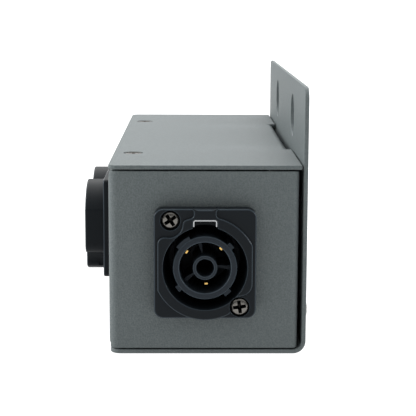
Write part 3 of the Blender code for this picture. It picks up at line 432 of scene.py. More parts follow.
seats = {name: seat_of(name) for name in ("inlet", "outlet_a", "outlet_b")}
tools = []
for name, seat in seats.items():
    if name == "inlet":
        # Distance of the inlet's axis along the blank, past the fold at the front corner.
        across = end_fold + end_length - panel_low[1] - BODY_BEND + seat.origin[1]
    else:
        across = seat.origin[0]
    up = seat.origin[2] - panel_middle
    tools.append(punch(circle(PANEL_HOLE_RADIUS, (across, up)), 0, SHEET))
    for place in seat.screws.values():
        tools.append(screw_hole((across + place[0], up + place[1])))
lip_reach = (LIP_BEND - SHEET / 2) * QUARTER - LIP_BEND - panel_low[1]
for number, side in ((1, 1), (2, -1)):
    rear = middle(f"rear_screw_{number}")
    across = blank_end - (abs(rear[0]) - (panel_high[0] - RETURN_WIDTH))
    places = [(side * across, rear[2] - panel_middle)]
    for kind, way in (("bottom", -1), ("cover", 1)):
        screw = middle(f"{kind}_screw_{number}")
        places.append((screw[0], way * (lip_fold + lip_reach + screw[1])))
    tools += [screw_hole(place) for place in places[::-1]]
carve(panel, tools)
lines = []
for side in (1, -1):
    lines += fold_lines(0, side, end_fold, BODY_BEND)
    lines += fold_lines(0, side, rear_fold, BODY_REAR_BEND)
    lines += fold_lines(1, side, lip_fold, LIP_BEND)
creased(panel, lines)


def fold_panel(points):
    """Folds the lips, then the returns, then the end faces, and stands the panel up at the front."""
    in_lips = np.abs(points[:, 0]) < lip_half + LIP_RELIEF / 2
    for side in (1, -1):
        points = folded(points, 1, side, lip_fold, LIP_BEND, in_lips)
    for start, outer in ((rear_fold, BODY_REAR_BEND), (end_fold, BODY_BEND)):
        for side in (1, -1):
            points = folded(points, 0, side, start, outer)
    return np.column_stack([points[:, 0], points[:, 2] + panel_low[1], points[:, 1] + panel_middle])


moved(panel, fold_panel)
settle(panel, "body_panel", POWDER_COAT)

# Top cover
# A flat blank whose rear edge has a long tab between two short slits; the tab is folded down in front
# of the back plate and keeps the cover from rattling. Two countersunk screws hold it at the front.
COVER_CORNER = 2.5 * MM
STRIP_CORNER = 0.4 * MM
SLIT_CORNER = 0.2 * MM
SLIT_PAST_FOLD = 0.2 * MM
TAB_BEND = 2.0 * MM
TAB_HALF = 38.6 * MM
TAB_SLIT = 0.5 * MM
TAB_BACK = 25.7 * MM
TAB_CORNER = 1.5 * MM
tab_fold = TAB_BACK - TAB_BEND
tab_end = tab_fold + (TAB_BEND - SHEET / 2) * QUARTER + cover_high[2] - cover_low[2] - TAB_BEND
slit_foot = tab_fold - SLIT_PAST_FOLD
cover_outline = both_sides([
    (cover_high[0], cover_low[1]),
    (cover_high[0], cover_high[1]),
    (TAB_HALF + TAB_SLIT, cover_high[1]),
    (TAB_HALF + TAB_SLIT, slit_foot),
    (TAB_HALF, slit_foot),
    (TAB_HALF, tab_end),
])
side_radii = [COVER_CORNER, STRIP_CORNER, STRIP_CORNER, SLIT_CORNER, SLIT_CORNER, TAB_CORNER]
cover = slab("top_cover_sheet", rounded(cover_outline, side_radii + side_radii[::-1]), 0, SHEET, SHEET_EDGE)
carve(cover, [countersink(middle(f"cover_screw_{number}")[:2]) for number in (1, 2)])
creased(cover, fold_lines(1, 1, tab_fold, TAB_BEND))


def stood(piece, place, axes=np.eye(3)):
    """Puts a piece's origin at a place and turns its x, y and z to the axes."""
    return moved(piece, lambda points: place + points @ axes)


def fold_tab(points):
    """Folds the tab alone; the strips beside it stay flat."""
    in_tab = np.abs(points[:, 0]) < TAB_HALF + TAB_SLIT / 2
    return folded(points, 1, 1, tab_fold, TAB_BEND, in_tab)


moved(cover, fold_tab)
stood(cover, (0, 0, cover_high[2]), np.diag((1, 1, -1)))
settle(cover, "top_cover", POWDER_COAT, "cover")

# Connector housings
# Glass-filled nylon mouldings: a mounting plate with a boss (inlet) or a tall collar (outlets), a
# barrel behind the panel, a notch for the latch over the bore, and a recess round each fixing screw.
PLATE_FRONT = 4.8 * MM
PLATE_BACK = 0.05 * MM
PLATE_EDGE = 0.5 * MM
BOSS_FRONT = PLATE_FRONT + 0.8 * MM
COLLAR_FRONT = PLATE_FRONT + 5.8 * MM
BOSS_ROOT = 2 * MM
BOSS_EDGE = 0.45 * MM
BOSS_RADIUS = 14.4 * MM
BOSS_FLAT = 13.0 * MM
# Each hollow round a screw: its centre, its radius, and the radii of its corners to circle and flat.
UPPER_RELIEF = ((-9.8 * MM, 12.2 * MM), 3.65 * MM, 1.5 * MM, 2.0 * MM)
LOWER_RELIEF = ((-9.9 * MM, 10.7 * MM), 3.0 * MM, 1.2 * MM, 3.3 * MM)
NECK_HALF = 3.1 * MM
NECK_FILLET = 1.0 * MM
NECK_FLARE = 0.8 * MM
NECK_GAP = 0.1 * MM
BARREL_RADIUS = 11.7 * MM
BARREL_CHAMFER = 0.4 * MM
BARREL_BACK = -20.0 * MM
BASE_FRONT = -12.2 * MM
REAR_BORE_RADIUS = 10.9 * MM
NOTCH_HALF = 3.4 * MM
NOTCH_TOP = 13.5 * MM
NOTCH_DEPTH = 5.3 * MM
NOTCH_CORNER = 0.5 * MM
HEAD_RECESS_RADIUS = 2.75 * MM
HEAD_RECESS_DEPTH = 2.4 * MM
HEAD_RECESS_FLARE = 0.25 * MM


def arc(centre, radius, start, end, steps):
    """Points on an arc between two angles."""
    turn = np.linspace(start, end, steps + 1)
    return np.array(centre) + radius * np.stack([np.cos(turn), np.sin(turn)], axis=1)


def joined(*runs):
    """Runs of points as one outline, without the points that two neighbouring runs share."""
    points = np.concatenate(runs)
    return points[np.linalg.norm(points - np.roll(points, 1, axis=0), axis=1) > 1e-6]


def direction(start, end):
    """Angle of the line from one point to another."""
    return math.atan2(end[1] - start[1], end[0] - start[0])


def relief(place, radius, to_circle, to_flat):
    """The boss's outline round the upper left screw: a hollow arc round the screw, joined by round
    corners to the boss's circle and to its left flat. A corner's centre lies its own radius inside
    the circle or the flat and one sum of radii from the screw."""
    place = np.array(place)
    away = np.linalg.norm(place)
    inside = BOSS_RADIUS - to_circle
    along = (away ** 2 + inside ** 2 - (radius + to_circle) ** 2) / (2 * away)
    out = place / away
    sideways = np.array([out[1], -out[0]])
    first = along * out + math.sqrt(inside ** 2 - along ** 2) * sideways
    last_x = to_flat - BOSS_FLAT
    drop = math.sqrt((radius + to_flat) ** 2 - (last_x - place[0]) ** 2)
    last = np.array([last_x, place[1] - drop])
    return direction((0, 0), first), joined(
        arc(first, to_circle, direction((0, 0), first), direction(first, place) % (2 * math.pi), 6),
        arc(place, radius, direction(place, first), direction(place, last) % (-2 * math.pi), 14),
        arc(last, to_flat, direction(last, place), math.pi, 6),
    )


def neck(top):
    """Right side of the raised neck between the boss and the plate's upper edge: a hollow fillet up
    from the boss's circle, a straight side and a hollow flare at the top."""
    across = NECK_HALF + NECK_FILLET
    low = np.array([across, math.sqrt((BOSS_RADIUS + NECK_FILLET) ** 2 - across ** 2)])
    high = (NECK_HALF + NECK_FLARE, top - NECK_FLARE)
    start = direction(low, (0, 0)) % (2 * math.pi)
    return direction((0, 0), low), joined(
        arc(low, NECK_FILLET, start, math.pi, 6),
        arc(high, NECK_FLARE, math.pi, 0.6 * math.pi, 6),
    )


def boss_outline(neck_top):
    """The circle round the bore with two flats, hollowed round both screws; with a neck where
    neck_top is given."""
    flat_turn = math.acos(BOSS_FLAT / BOSS_RADIUS)
    upper_start, upper_relief = relief(*UPPER_RELIEF)
    lower_start, lower_relief = relief(*LOWER_RELIEF)
    if neck_top:
        neck_start, neck_side = neck(neck_top)
        crown = [
            arc((0, 0), BOSS_RADIUS, flat_turn, neck_start, 16),
            both_sides(neck_side),
            arc((0, 0), BOSS_RADIUS, math.pi - neck_start, upper_start, 4),
        ]
    else:
        crown = [arc((0, 0), BOSS_RADIUS, flat_turn, upper_start, 32)]
    floor_arc = arc((0, 0), BOSS_RADIUS, math.pi + flat_turn, math.pi + lower_start, 32)
    return joined(*crown, upper_relief, floor_arc, -lower_relief)


def rings_of(radius, height, turn):
    """Rings round an axis from radii, heights and angles: x = r cos t, y = r sin t, z = h."""
    return np.stack([radius * np.cos(turn), radius * np.sin(turn), height + 0 * turn], axis=-1)


def revolved(profile, sides=64):
    """Rings of (radius, height) points turned round the bore's axis."""
    radius, height = np.array(profile).T[:, :, None]
    return rings_of(radius, height, full_turn(sides))


def turned(name, profile, sides=64):
    """A turned piece of (radius, height) points; the ends are closed flat."""
    return skin(name, revolved(profile, sides))


def flared_bore(steps, flare=0.3 * MM):
    """Profile of a stepped bore from its rear to its front, in (radius, height) pairs; the last radius
    opens out by a quarter circle at the last height."""
    radius, top = steps[-1]
    inset, rise = quarter_round(flare)
    lip = np.stack([radius + rise, top - inset], axis=1)
    return np.concatenate([steps[:-1], lip, [(radius + flare, top + PAST)]])


def mouth_cutter(outline, bottom, top, flare=0.2 * MM):
    """A cutter from its bottom up through a face at the top, where it opens out by a quarter circle."""
    inset, rise = quarter_round(flare)
    insets = -np.concatenate([[0], inset[::-1], [flare]])
    heights = np.concatenate([[bottom], top - rise[::-1], [top + PAST]])
    return skin("cutter", stacked(outline, insets, heights))


def blend(tree, shader, share, base, other):
    """Base colour that runs from one colour to another as a share goes from 0 to 1. A Mix node's
    colours are its sockets 6 and 7, and its mixed colour is its output 2."""
    mix = node(tree, "Mix", {"data_type": "RGBA"}, share)
    mix.inputs[6].default_value = colour(base)
    mix.inputs[7].default_value = colour(other)
    tree.links.new(mix.outputs[2], shader.inputs["Base Color"])


def black_nylon(name, base, painted_rim_highlight, axis):
    """Black glass-filled nylon 66: a dull spark-eroded texture on the faces and walls of the moulding,
    and glossier rims, where the texture is rubbed off; the rims' base colour is also painted paler, as a
    painted highlight. A rim is where the surface's normal lies neither along the moulding's axis nor square
    to it."""
    made, tree, shader = finish_of(name, base, 0.5, Specular_IOR_Level=0.12)
    grain(tree, shader, 0.3 * MM, 0.02 * MM, 0.5, 3.0)
    normal = node(tree, "NewGeometry").outputs["Normal"]
    lean = node(tree, "VectorMath", {"operation": "DOT_PRODUCT"}, normal)
    lean.inputs[1].default_value = axis
    share = node(tree, "Math", {"operation": "ABSOLUTE"}, lean.outputs["Value"]).outputs[0]
    off_wall = node(tree, "MapRange", {"From Min": 0.15, "From Max": 0.4}, share).outputs[0]
    off_face = node(tree, "MapRange", {"From Min": 0.97, "From Max": 0.88}, share).outputs[0]
    rim = node(tree, "Math", {"operation": "MULTIPLY"}, off_wall, off_face).outputs[0]
    gloss = node(tree, "MapRange", {"To Min": 0.5, "To Max": 0.16}, rim)
    tree.links.new(gloss.outputs["Result"], shader.inputs["Roughness"])
    # Painted highlight: the rims' base colour is painted paler than the faces'.
    blend(tree, shader, rim, base, painted_rim_highlight)
    return made, "black_nylon"


INLET_AXIS = (1, 0, 0)
OUTLET_AXIS = (0, 1, 0)
housing_nylon = {}
insert_nylon = {}
for axis in (INLET_AXIS, OUTLET_AXIS):
    # The second colour of each nylon is the painted highlight on its rims.
    housing_nylon[axis] = black_nylon("black glass-filled nylon", "#0F1418", "#2A3238", axis)
    insert_nylon[axis] = black_nylon("black nylon of the inserts", "#20262C", "#3A434A", axis)
# Each moulding: its axis, plate width and height, corner, front, and bore as radii at depths.
INLET_BORE = [(10.2 * MM, -13 * MM), (11.2 * MM, -8 * MM), (11.55 * MM, 0)]
OUTLET_BORE = [(9.15 * MM, 0)]
OUTLET = (OUTLET_AXIS, 28.0 * MM, 31.0 * MM, 1.5 * MM, COLLAR_FRONT, OUTLET_BORE)
MOULDINGS = {
    "inlet": (INLET_AXIS, 28.0 * MM, 30.4 * MM, 2.5 * MM, BOSS_FRONT, INLET_BORE),
    "outlet_a": OUTLET,
    "outlet_b": OUTLET,
}
for name, seat in seats.items():
    axis, width, height, corner, top, bore = MOULDINGS[name]
    plate_low = (-width / 2, seat.drop - height / 2)
    plate_high = (width / 2, seat.drop + height / 2)
    housing = slab(name + "_body", oblong(plate_low, plate_high, corner), PLATE_BACK, PLATE_FRONT, PLATE_EDGE)
    neck_top = plate_high[1] - NECK_GAP if name == "inlet" else None
    boss = slab(name + "_boss", boss_outline(neck_top), BOSS_ROOT, top, BOSS_EDGE)
    barrel_profile = [
        (BARREL_RADIUS - BARREL_CHAMFER, BARREL_BACK),
        (BARREL_RADIUS, BARREL_BACK + BARREL_CHAMFER),
        (BARREL_RADIUS, BOSS_ROOT),
    ]
    carve(housing, [boss, turned(name + "_barrel", barrel_profile)], "UNION")
    steps = [(REAR_BORE_RADIUS, BARREL_BACK - PAST), (REAR_BORE_RADIUS, BASE_FRONT), (bore[0][0], BASE_FRONT)]
    steps += [(radius, top + depth) for radius, depth in bore]
    notch = oblong((-NOTCH_HALF, 0), (NOTCH_HALF, NOTCH_TOP), NOTCH_CORNER)
    tools = [turned("cutter", flared_bore(steps)), mouth_cutter(notch, top - NOTCH_DEPTH, top)]
    recess_floor = PLATE_FRONT - HEAD_RECESS_DEPTH
    recess = [(SCREW_HOLE_RADIUS, -PAST), (SCREW_HOLE_RADIUS, recess_floor)]
    recess += [(HEAD_RECESS_RADIUS, recess_floor), (HEAD_RECESS_RADIUS, PLATE_FRONT)]
    for place in seat.screws.values():
        tools.append(stood(turned("cutter", flared_bore(recess, HEAD_RECESS_FLARE), 40), (*place, 0)))
    carve(housing, tools)
    moved(housing, seat.world)
    settle(housing, name + "_housing", housing_nylon[axis])

# Insulators
# The inlet's insert has a keyed ring, a hub and three thin ribs on a base disc; an outlet's insert is a
# round plug with a centre hole and three slots. Both are moulded of the same nylon and pressed in.
RING_RADIUS = 8.8 * MM
RING_INNER = 7.05 * MM
HUB_RADIUS = 3.35 * MM
HUB_INNER = 2.45 * MM
CORE_FRONT = 4.6 * MM
DISC_BACK = -19.9 * MM
DISC_RADIUS = 10.8 * MM
DISC_FRONT = -12.4 * MM
DISC_CHAMFER = 0.3 * MM
KEY_RADIUS = 9.7 * MM
KEY_SPANS = ((117, 144), (35, 46), (213, 224), (305, 318))
RIB_ANGLES = (103, 220, 352)
KEY_BACK = -6 * MM
KEY_FRONT = CORE_FRONT - 0.2 * MM
RIB_FRONT = -0.6 * MM
RIB_HALF_AT_HUB = 0.2 * MM
RIB_HALF_AT_RING = 0.65 * MM
ROOT = 1 * MM  # how far a raised form reaches into what carries it
CONTACT_ANGLES = {"line": 145.0, "neutral": 45.0, "earth": 274.0}
CONTACT_CIRCLE = 5.2 * MM
# Half the width and half the depth of a contact's slot.
INLET_SLOT = np.array([2.5, 0.6]) * MM
OUTLET_SLOT = np.array([2.1, 0.75]) * MM


def tube(name, outer, inner, low, high, edge):
    """A ring of rectangular section with rounded rims, joined on itself."""
    section = oblong((inner, low), (outer, high), edge, 4)[::-1]
    return skin(name, revolved(section, 72).swapaxes(0, 1), ends=False)


def sector(inner, outer, start, end):
    """Outline of a piece of a ring, from one angle to another in degrees."""
    first, last = math.radians(start), math.radians(end)
    return np.concatenate([arc((0, 0), outer, first, last, 10), arc((0, 0), inner, last, first, 10)])


def heading(angle):
    """Direction away from the bore's axis at an angle in degrees."""
    turn = math.radians(angle)
    return np.array([math.cos(turn), math.sin(turn), 0])


def spun(angle):
    """A turn round the bore's axis by an angle in degrees, for row vectors."""
    return np.array([heading(angle), heading(angle + 90), (0, 0, 1)])


def contact_axes(angle):
    """Directions at one contact: x round the bore, y out of the panel, z away from the axis."""
    return np.array([heading(angle + 90), (0, 0, 1), heading(angle)])


def contact_centre(angle):
    """Middle of one contact in its connector's frame."""
    return CONTACT_CIRCLE * heading(angle)


def slot_cutter(angle, half_size, front):
    """A cutter for the passage of one flat contact, rounded at its mouth."""
    slot = oblong(-half_size, half_size, 0.2 * MM, 3)
    around, out, away = contact_axes(angle)
    cutter = mouth_cutter(slot, DISC_BACK - PAST, front)
    return stood(cutter, contact_centre(angle), np.array([-around, away, out]))


disc_profile = [
    (DISC_RADIUS - DISC_CHAMFER, DISC_BACK),
    (DISC_RADIUS, DISC_BACK + DISC_CHAMFER),
    (DISC_RADIUS, DISC_FRONT),
]
inlet_core = turned("inlet_insert", disc_profile)
parts = [
    tube("ring", RING_RADIUS, RING_INNER, DISC_FRONT - ROOT, CORE_FRONT, 0.4 * MM),
    tube("hub", HUB_RADIUS, HUB_INNER, DISC_FRONT - ROOT, CORE_FRONT, 0.3 * MM),
]
for span in KEY_SPANS:
    parts.append(slab("key", sector(RING_RADIUS - ROOT, KEY_RADIUS, *span), KEY_BACK, KEY_FRONT, 0.15 * MM))
for angle in RIB_ANGLES:
    wedge = [(HUB_RADIUS - 0.4 * MM, -RIB_HALF_AT_HUB), (RING_INNER + 0.8 * MM, -RIB_HALF_AT_RING)]
    wedge = rounded(both_sides(wedge, (1, -1)), 0.12 * MM, 2)
    parts.append(stood(slab("rib", wedge, DISC_FRONT - ROOT, RIB_FRONT, 0.1 * MM), 0, spun(angle)))
carve(inlet_core, parts, "UNION")
carve(inlet_core, [slot_cutter(angle, INLET_SLOT, DISC_FRONT) for angle in CONTACT_ANGLES.values()])
moved(inlet_core, seats["inlet"].world)
settle(inlet_core, ["inlet_core", "inlet_ring"], insert_nylon[INLET_AXIS])

PLUG_RADIUS = 6.75 * MM
PLUG_EDGE = 0.4 * MM
PLUG_FRONT = COLLAR_FRONT - 1.0 * MM
PLUG_HOLE_RADIUS = 3.65 * MM
PLUG_HOLE_BOTTOM = -8.0 * MM
outlet_angles = {pole: 180 - angle for pole, angle in CONTACT_ANGLES.items()}
inset, rise = quarter_round(PLUG_EDGE)
plug_lip = np.stack([PLUG_RADIUS - rise, PLUG_FRONT - inset], axis=1)
plug_profile = np.concatenate([disc_profile, [(PLUG_RADIUS, DISC_FRONT)], plug_lip])
plug_hole = flared_bore([(PLUG_HOLE_RADIUS, PLUG_HOLE_BOTTOM), (PLUG_HOLE_RADIUS, PLUG_FRONT)])
for name in ("outlet_a", "outlet_b"):
    core = turned(name + "_insert", plug_profile)
    slots = [slot_cutter(angle, OUTLET_SLOT, PLUG_FRONT) for angle in outlet_angles.values()]
    carve(core, [turned("cutter", plug_hole), *slots])
    moved(core, seats[name].world)
    settle(core, name + "_core", insert_nylon[OUTLET_AXIS])

# Latch plates
# A strip of bright spring steel bent like a staple and pressed into the notch over each bore, where
# the cable connector's latch catches on it. It has no coating, so it flashes in the light.
LATCH_HALF = 3.3 * MM
LATCH_TOP = 13.4 * MM
LATCH_LEG = 1.9 * MM
LATCH_SHEET = 0.38 * MM
LATCH_LENGTH = 3.6 * MM
LATCH_SETBACK = 0.4 * MM


def spring_steel():
    """Bright cold-rolled spring steel: polished by the rolls, with fine lines along the strip."""
    made, tree, shader = finish_of("bright rolled spring steel", "#A9ABAD", 0.28, 1.0)
    place = node(tree, "TexCoord").outputs["Object"]
    stretch = node(tree, "Mapping", {"Scale": (0.15, 1.0, 1.0)}, place).outputs["Vector"]
    lines = node(tree, "TexNoise", {"Scale": 1 / (0.25 * MM), "Detail": 2.0}, stretch)
    bump = node(tree, "Bump", {"Distance": 0.01 * MM, "Strength": 0.4}, Height=lines.outputs["Fac"])
    tree.links.new(bump.outputs["Normal"], shader.inputs["Normal"])
    return made, "spring_steel"


SPRING_STEEL = spring_steel()
foot = LATCH_TOP - LATCH_LEG
inner = LATCH_HALF - LATCH_SHEET
half_staple = [(inner, LATCH_TOP - LATCH_SHEET), (inner, foot), (LATCH_HALF, foot), (LATCH_HALF, LATCH_TOP)]
half_radii = np.array([0.3, 0.08, 0.08, 0.7]) * MM
staple = rounded(both_sides(half_staple), np.concatenate([half_radii, half_radii[::-1]]), 5)
for name, seat in seats.items():
    front = (BOSS_FRONT if name == "inlet" else COLLAR_FRONT) - LATCH_SETBACK
    plate = slab(name + "_latch_strip", staple, front - LATCH_LENGTH, front, 0.08 * MM)
    moved(plate, seat.world)
    settle(plate, name + "_latch_plate", SPRING_STEEL)

# Contacts
# Springs stamped from brass strip, with push-on tabs behind the insulator; three in each connector.
# Their tips narrow, and in the inlet they lean towards the ring or the hub.
CONTACT_SHEET = 0.9 * MM
# Along a contact from its tail: height, half width, share of the sheet's thickness and lean.
TAIL_STATIONS = [
    (-26.5, 1.7, 0.6, 0), (-25.8, 2.4, 1, 0), (-19.9, 2.4, 1, 0), (-19.7, 1.8, 1, 0), (-9, 1.8, 1, 0),
]
TIP_STATIONS = [
    (-8, 1.7, 1, 0.1), (-6, 1.4, 1, 0.45), (-4, 1.0, 0.9, 0.85), (-1.2, 0.7, 0.8, 1), (-0.4, 0.45, 0.5, 1),
]
INLET_LEAN = {"line": 0.9 * MM, "neutral": 1.0 * MM, "earth": 0.25 * MM}
OUTLET_TIP = 5.0  # how much further forward the outlets' tips stand, in millimetres


def contact(name, forward, lean):
    """A strip as rings along its height. Each ring is a rounded rectangle of its station's width and
    thickness, moved away from the bore's axis by its lean."""
    tip = np.array(TIP_STATIONS) + (forward, 0, 0, 0)
    height, half, thick, leaning = np.concatenate([TAIL_STATIONS, tip]).T[:, :, None]
    section = oblong((-1, -1), (1, 1), 0.35, 3)
    x = section[:, 0] * half * MM
    away = section[:, 1] * thick * CONTACT_SHEET / 2 + leaning * lean
    y = height * MM + 0 * x
    return skin(name, np.stack([x, y, away], axis=-1)[:, ::-1])


def brass():
    """Stamped brass strip, lightly dulled by handling, with fine drawing lines along it."""
    made, tree, shader = finish_of("stamped brass", "#D9B26A", 0.28, 1.0)
    grain(tree, shader, 0.15 * MM, 0.008 * MM, 0.4)
    return made, "brass"


BRASS = brass()
for name, seat in seats.items():
    for pole, angle in (CONTACT_ANGLES if name == "inlet" else outlet_angles).items():
        bend = (0, INLET_LEAN[pole]) if name == "inlet" else (OUTLET_TIP, 0)
        piece = stood(contact(f"{name}_spring_{pole}", *bend), contact_centre(angle), contact_axes(angle))
        moved(piece, seat.world)
        settle(piece, f"{name}_contact_{pole}", BRASS)

# Screws, nuts and bushes
# Nickel-plated M3 steel screws with cross recesses: countersunk in the case, pan-headed at its back
# and in the connectors, with round clinch nuts in the lips and round bushes behind the connectors.
THREAD_RADIUS = 1.5 * MM
THREAD_PITCH = 0.5 * MM
THREAD_DEPTH = 0.27 * MM
THREAD_SIDES = 36


def thread_rings(bottom, top, radius=THREAD_RADIUS, pitch=THREAD_PITCH):
    """A screw thread as a height field: the radius falls and rises once for each pitch of height plus
    turn, as a triangle wave, and fades out at the point and under the head."""
    rows = int((top - bottom) / pitch * 8)
    height = np.linspace(bottom, top, rows + 1)[:, None]
    turn = full_turn(THREAD_SIDES)[None, :]
    phase = (height / pitch - turn / (2 * math.pi)) % 1
    wave = np.abs(2 * phase - 1)
    fade = np.clip(np.minimum(height - bottom, top - height) / pitch, 0, 1)
    return rings_of(radius - THREAD_DEPTH * (1 - wave * fade), height, turn)


CROSS_WING = 1.85 * MM
CROSS_DEPTH = 1.7 * MM


def cross_cutter(top, turn):
    """A cross-recess driver's point: a plus-shaped outline that shrinks as it goes down."""
    quarter = np.array([(1, -0.25), (1, 0.25), (0.28, 0.28)]) * CROSS_WING
    outline = rounded(np.concatenate([quarter @ spun(90 * k + turn)[:2, :2] for k in range(4)]), 0.1 * MM, 3)
    scales = np.array([1.2, 1.0, 0.68, 0.3])[:, None, None]
    heights = top + CROSS_DEPTH * np.array([0.6, 0, -0.65, -1])[:, None, None]
    rings = np.concatenate([outline[None] * scales, heights + 0 * outline[None, :, :1]], axis=-1)
    return skin("cutter", rings[::-1])


def nickel_plate():
    """Dull nickel plating on cold-formed steel, slightly uneven from the plating barrel, with painted shade
    that makes it nearly black down in the driver's recess."""
    made, tree, shader = finish_of("nickel plating", "#6E6C68", 0.27, 1.0)
    grain(tree, shader, 0.3 * MM, 0.015 * MM, 0.6)
    depth = node(tree, "Attribute", {"attribute_name": "recess"}).outputs["Fac"]
    # Painted shade: the deeper a point lies in the recess, the nearer to black the nickel is painted.
    blend(tree, shader, depth, "#6E6C68", "#141312")
    return made, "nickel_plated_steel"


NICKEL = nickel_plate()
UPRIGHT = np.eye(3)
HANGING = np.diag((1, -1, -1))
REARWARD = np.array([(-1, 0, 0), (0, 0, 1), (0, 1, 0)])
SUNK_HEAD = np.array([(1.3, -1.1), (2.45, -0.12), (2.55, -0.05), (2.5, 0.0), (1.9, 0.05), (1.0, 0.08)]) * MM
PAN_HEAD = np.array([
    (1.4, 0.0), (2.75, 0.0), (2.8, 0.1), (2.8, 0.55), (2.6, 1.05), (2.1, 1.4), (1.2, 1.58),
]) * MM
RAISED_HEAD = np.array([
    (1.3, -1.5), (2.25, -0.55), (2.38, -0.45), (2.38, -0.3), (2.2, -0.1), (1.7, 0.06), (0.9, 0.12),
]) * MM


def screw(node_name, place, axes, head, length, body="case", turn=0):
    """One screw with its head's seat at a place, pointing down its own axis. How far each point lies
    down in the driver's recess is kept as an attribute, from which the finish paints shade into the recess."""
    top = head[-1, 1]
    rings = [thread_rings(-length, head[0, 1]), revolved(head, THREAD_SIDES)]
    made = skin(node_name + "_metal", np.concatenate(rings))
    carve(made, [cross_cutter(top, turn)])
    points = np.empty(len(made.data.vertices) * 3)
    made.data.vertices.foreach_get("co", points)
    x, y, z = points.reshape(-1, 3).T
    # Painted shade: points down in the cross recess get a share that darkens their colour.
    inside = (np.hypot(x, y) < CROSS_WING * 1.02) & (z > top - CROSS_DEPTH * 1.02)
    deep = np.where(inside, np.clip((top - z) / (CROSS_DEPTH * 0.35), 0, 1), 0)
    made.data.attributes.new("recess", "FLOAT", "POINT").data.foreach_set("value", deep)
    settle(stood(made, place, axes), node_name, NICKEL, body)


def bush(node_name, place, axes, outer, low, high):
    """A round nut or bush with rounded rims, joined on itself."""
    made = tube(node_name + "_metal", outer, NUT_BORE, low, high, 0.2 * MM)
    settle(stood(made, place, axes), node_name, NICKEL)


CASE_SCREW_LENGTH = 8.0 * MM
CASE_NUT_RADIUS = 2.9 * MM
CASE_NUT_GRIP = 0.25 * MM
CONNECTOR_SCREW_LENGTH = 10.0 * MM
BUSH_RADIUS = 2.4 * MM
BUSH_BACK = -SHEET - 2.7 * MM
BUSH_LENGTH = 2.6 * MM
NUT_BORE = 1.58 * MM
SCREW_TURNS = {1: 35, 2: 8}
SCREW_SINK = {1: 0.7 * MM, 2: 0.3 * MM}
CASE_SCREWS = {
    "cover": (UPRIGHT, SUNK_HEAD, "cover"),
    "bottom": (HANGING, SUNK_HEAD, "case"),
    "rear": (REARWARD, PAN_HEAD, "case"),
}
for number in (1, 2):
    for kind, (axes, head, body) in CASE_SCREWS.items():
        low, high = np.array(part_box(f"{kind}_screw_{number}"))
        place = (low + high) / 2
        if kind == "cover":
            place[2] = high[2]
        elif kind == "bottom":
            place[2] = low[2]
        else:
            place[1] = bracket_high[1]
        screw(f"{kind}_screw_{number}", place, axes, head, CASE_SCREW_LENGTH, body)
        span = (np.array(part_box(f"{kind}_nut_{number}")) - place) @ axes.T[:, 2]
        bush(f"{kind}_nut_{number}", place, axes, CASE_NUT_RADIUS, span.min(), span.max() + CASE_NUT_GRIP)
for name, seat in seats.items():
    for number, spot in seat.screws.items():
        seat_height = PLATE_FRONT - SCREW_SINK[number]
        place = seat.world(np.array([*spot, seat_height]))
        turn = SCREW_TURNS[number]
        screw(f"{name}_screw_{number}", place, seat.axes, RAISED_HEAD, CONNECTOR_SCREW_LENGTH, turn=turn)
        low = BUSH_BACK - seat_height
        bush(f"{name}_bush_{number}", place, seat.axes, BUSH_RADIUS, low, low + BUSH_LENGTH)

# Wires and their receptacles
# Stranded copper in PVC: brown, blue, and green with a yellow stripe. Each pole is one harness from the
# inlet to the near outlet and on to the far one, crimped into insulated push-on receptacles.
WIRE_RADIUS = 1.3 * MM
WIRE_OFFSET = 1.9 * MM
WIRE_LEAD = 2.0 * MM
SLEEVE_FRONT = -20.3 * MM
SLEEVE_LENGTH = 12.0 * MM
SLEEVE_GRIP = 3.0 * MM
MOUTH_DEPTH = 6.8 * MM
HALF_MOUTH = np.array([2.7, 0.8]) * MM
# How far each run's middle points lie from the straight line between its ends, in millimetres.
WIRE_RUNS = {
    "line": (
        [(-3.5, 0.5, 1.5), (-5.5, 6.5, 3.5), (-5.5, 12, 4.5), (-4.5, 14, 4), (-4, 12.5, 3), (-3, 7, 1.5)],
        [(3.5, 5.5, 3), (4, 9.5, 6), (0.5, 10.5, 7.5), (-3.5, 10.5, 6.5), (-4.5, 6, 2.5)],
    ),
    "neutral": (
        [(-1, 1.5, 0.5), (-2, 7, 0), (-4, 12, -0.5), (-5.5, 12.5, -1), (-4.5, 7, -0.5)],
        [(4, 5.5, 0), (4.5, 9.5, -0.5), (1.5, 11, -1), (-3, 9.5, -1), (-3.5, 5.5, -0.5)],
    ),
    "earth": (
        [(-2.5, 0, -0.5), (-5.5, 3, -2), (-7, 7.5, -2.5), (-6, 10, -2), (-5, 10, -1.5), (-3.5, 6, -0.5)],
        [(4.5, 5, -1), (5, 8.5, -2), (1.5, 10, -2.5), (-3, 9, -2), (-4, 5, -1)],
    ),
}


def smooth_route(points, steps_each=10):
    """A Catmull-Rom curve through the points: on each span the place is the cubic whose slopes at both
    ends are half the distance between the neighbouring points."""
    points = np.array(points)
    guide = np.concatenate([[2 * points[0] - points[1]], points, [2 * points[-1] - points[-2]]])
    a, b, c, d = (guide[k:len(guide) - 3 + k, None] for k in range(4))
    t = np.linspace(0, 1, steps_each, endpoint=False)[None, :, None]
    cubic = 2 * b + (c - a) * t + (2 * a - 5 * b + 4 * c - d) * t ** 2 + (3 * b - a - 3 * c + d) * t ** 3
    return np.concatenate([0.5 * cubic.reshape(-1, 3), points[-1:]])


def along(route):
    """Rings square to a route. Each ring's first arm is the last one's with its share along the new
    way taken out, so the tube doesn't twist."""
    ways = np.gradient(route, axis=0)
    ways /= np.linalg.norm(ways, axis=1)[:, None]
    arms = [np.cross(ways[0], (0.3, 0.5, 0.81))]
    for way in ways[1:]:
        arms.append(arms[-1] - way * (arms[-1] @ way))
    arm = np.array(arms)
    arm /= np.linalg.norm(arm, axis=1)[:, None]
    other = np.cross(ways, arm)
    turn = full_turn(20)[None, :, None]
    return route[:, None] + WIRE_RADIUS * (arm[:, None] * np.cos(turn) + other[:, None] * np.sin(turn))


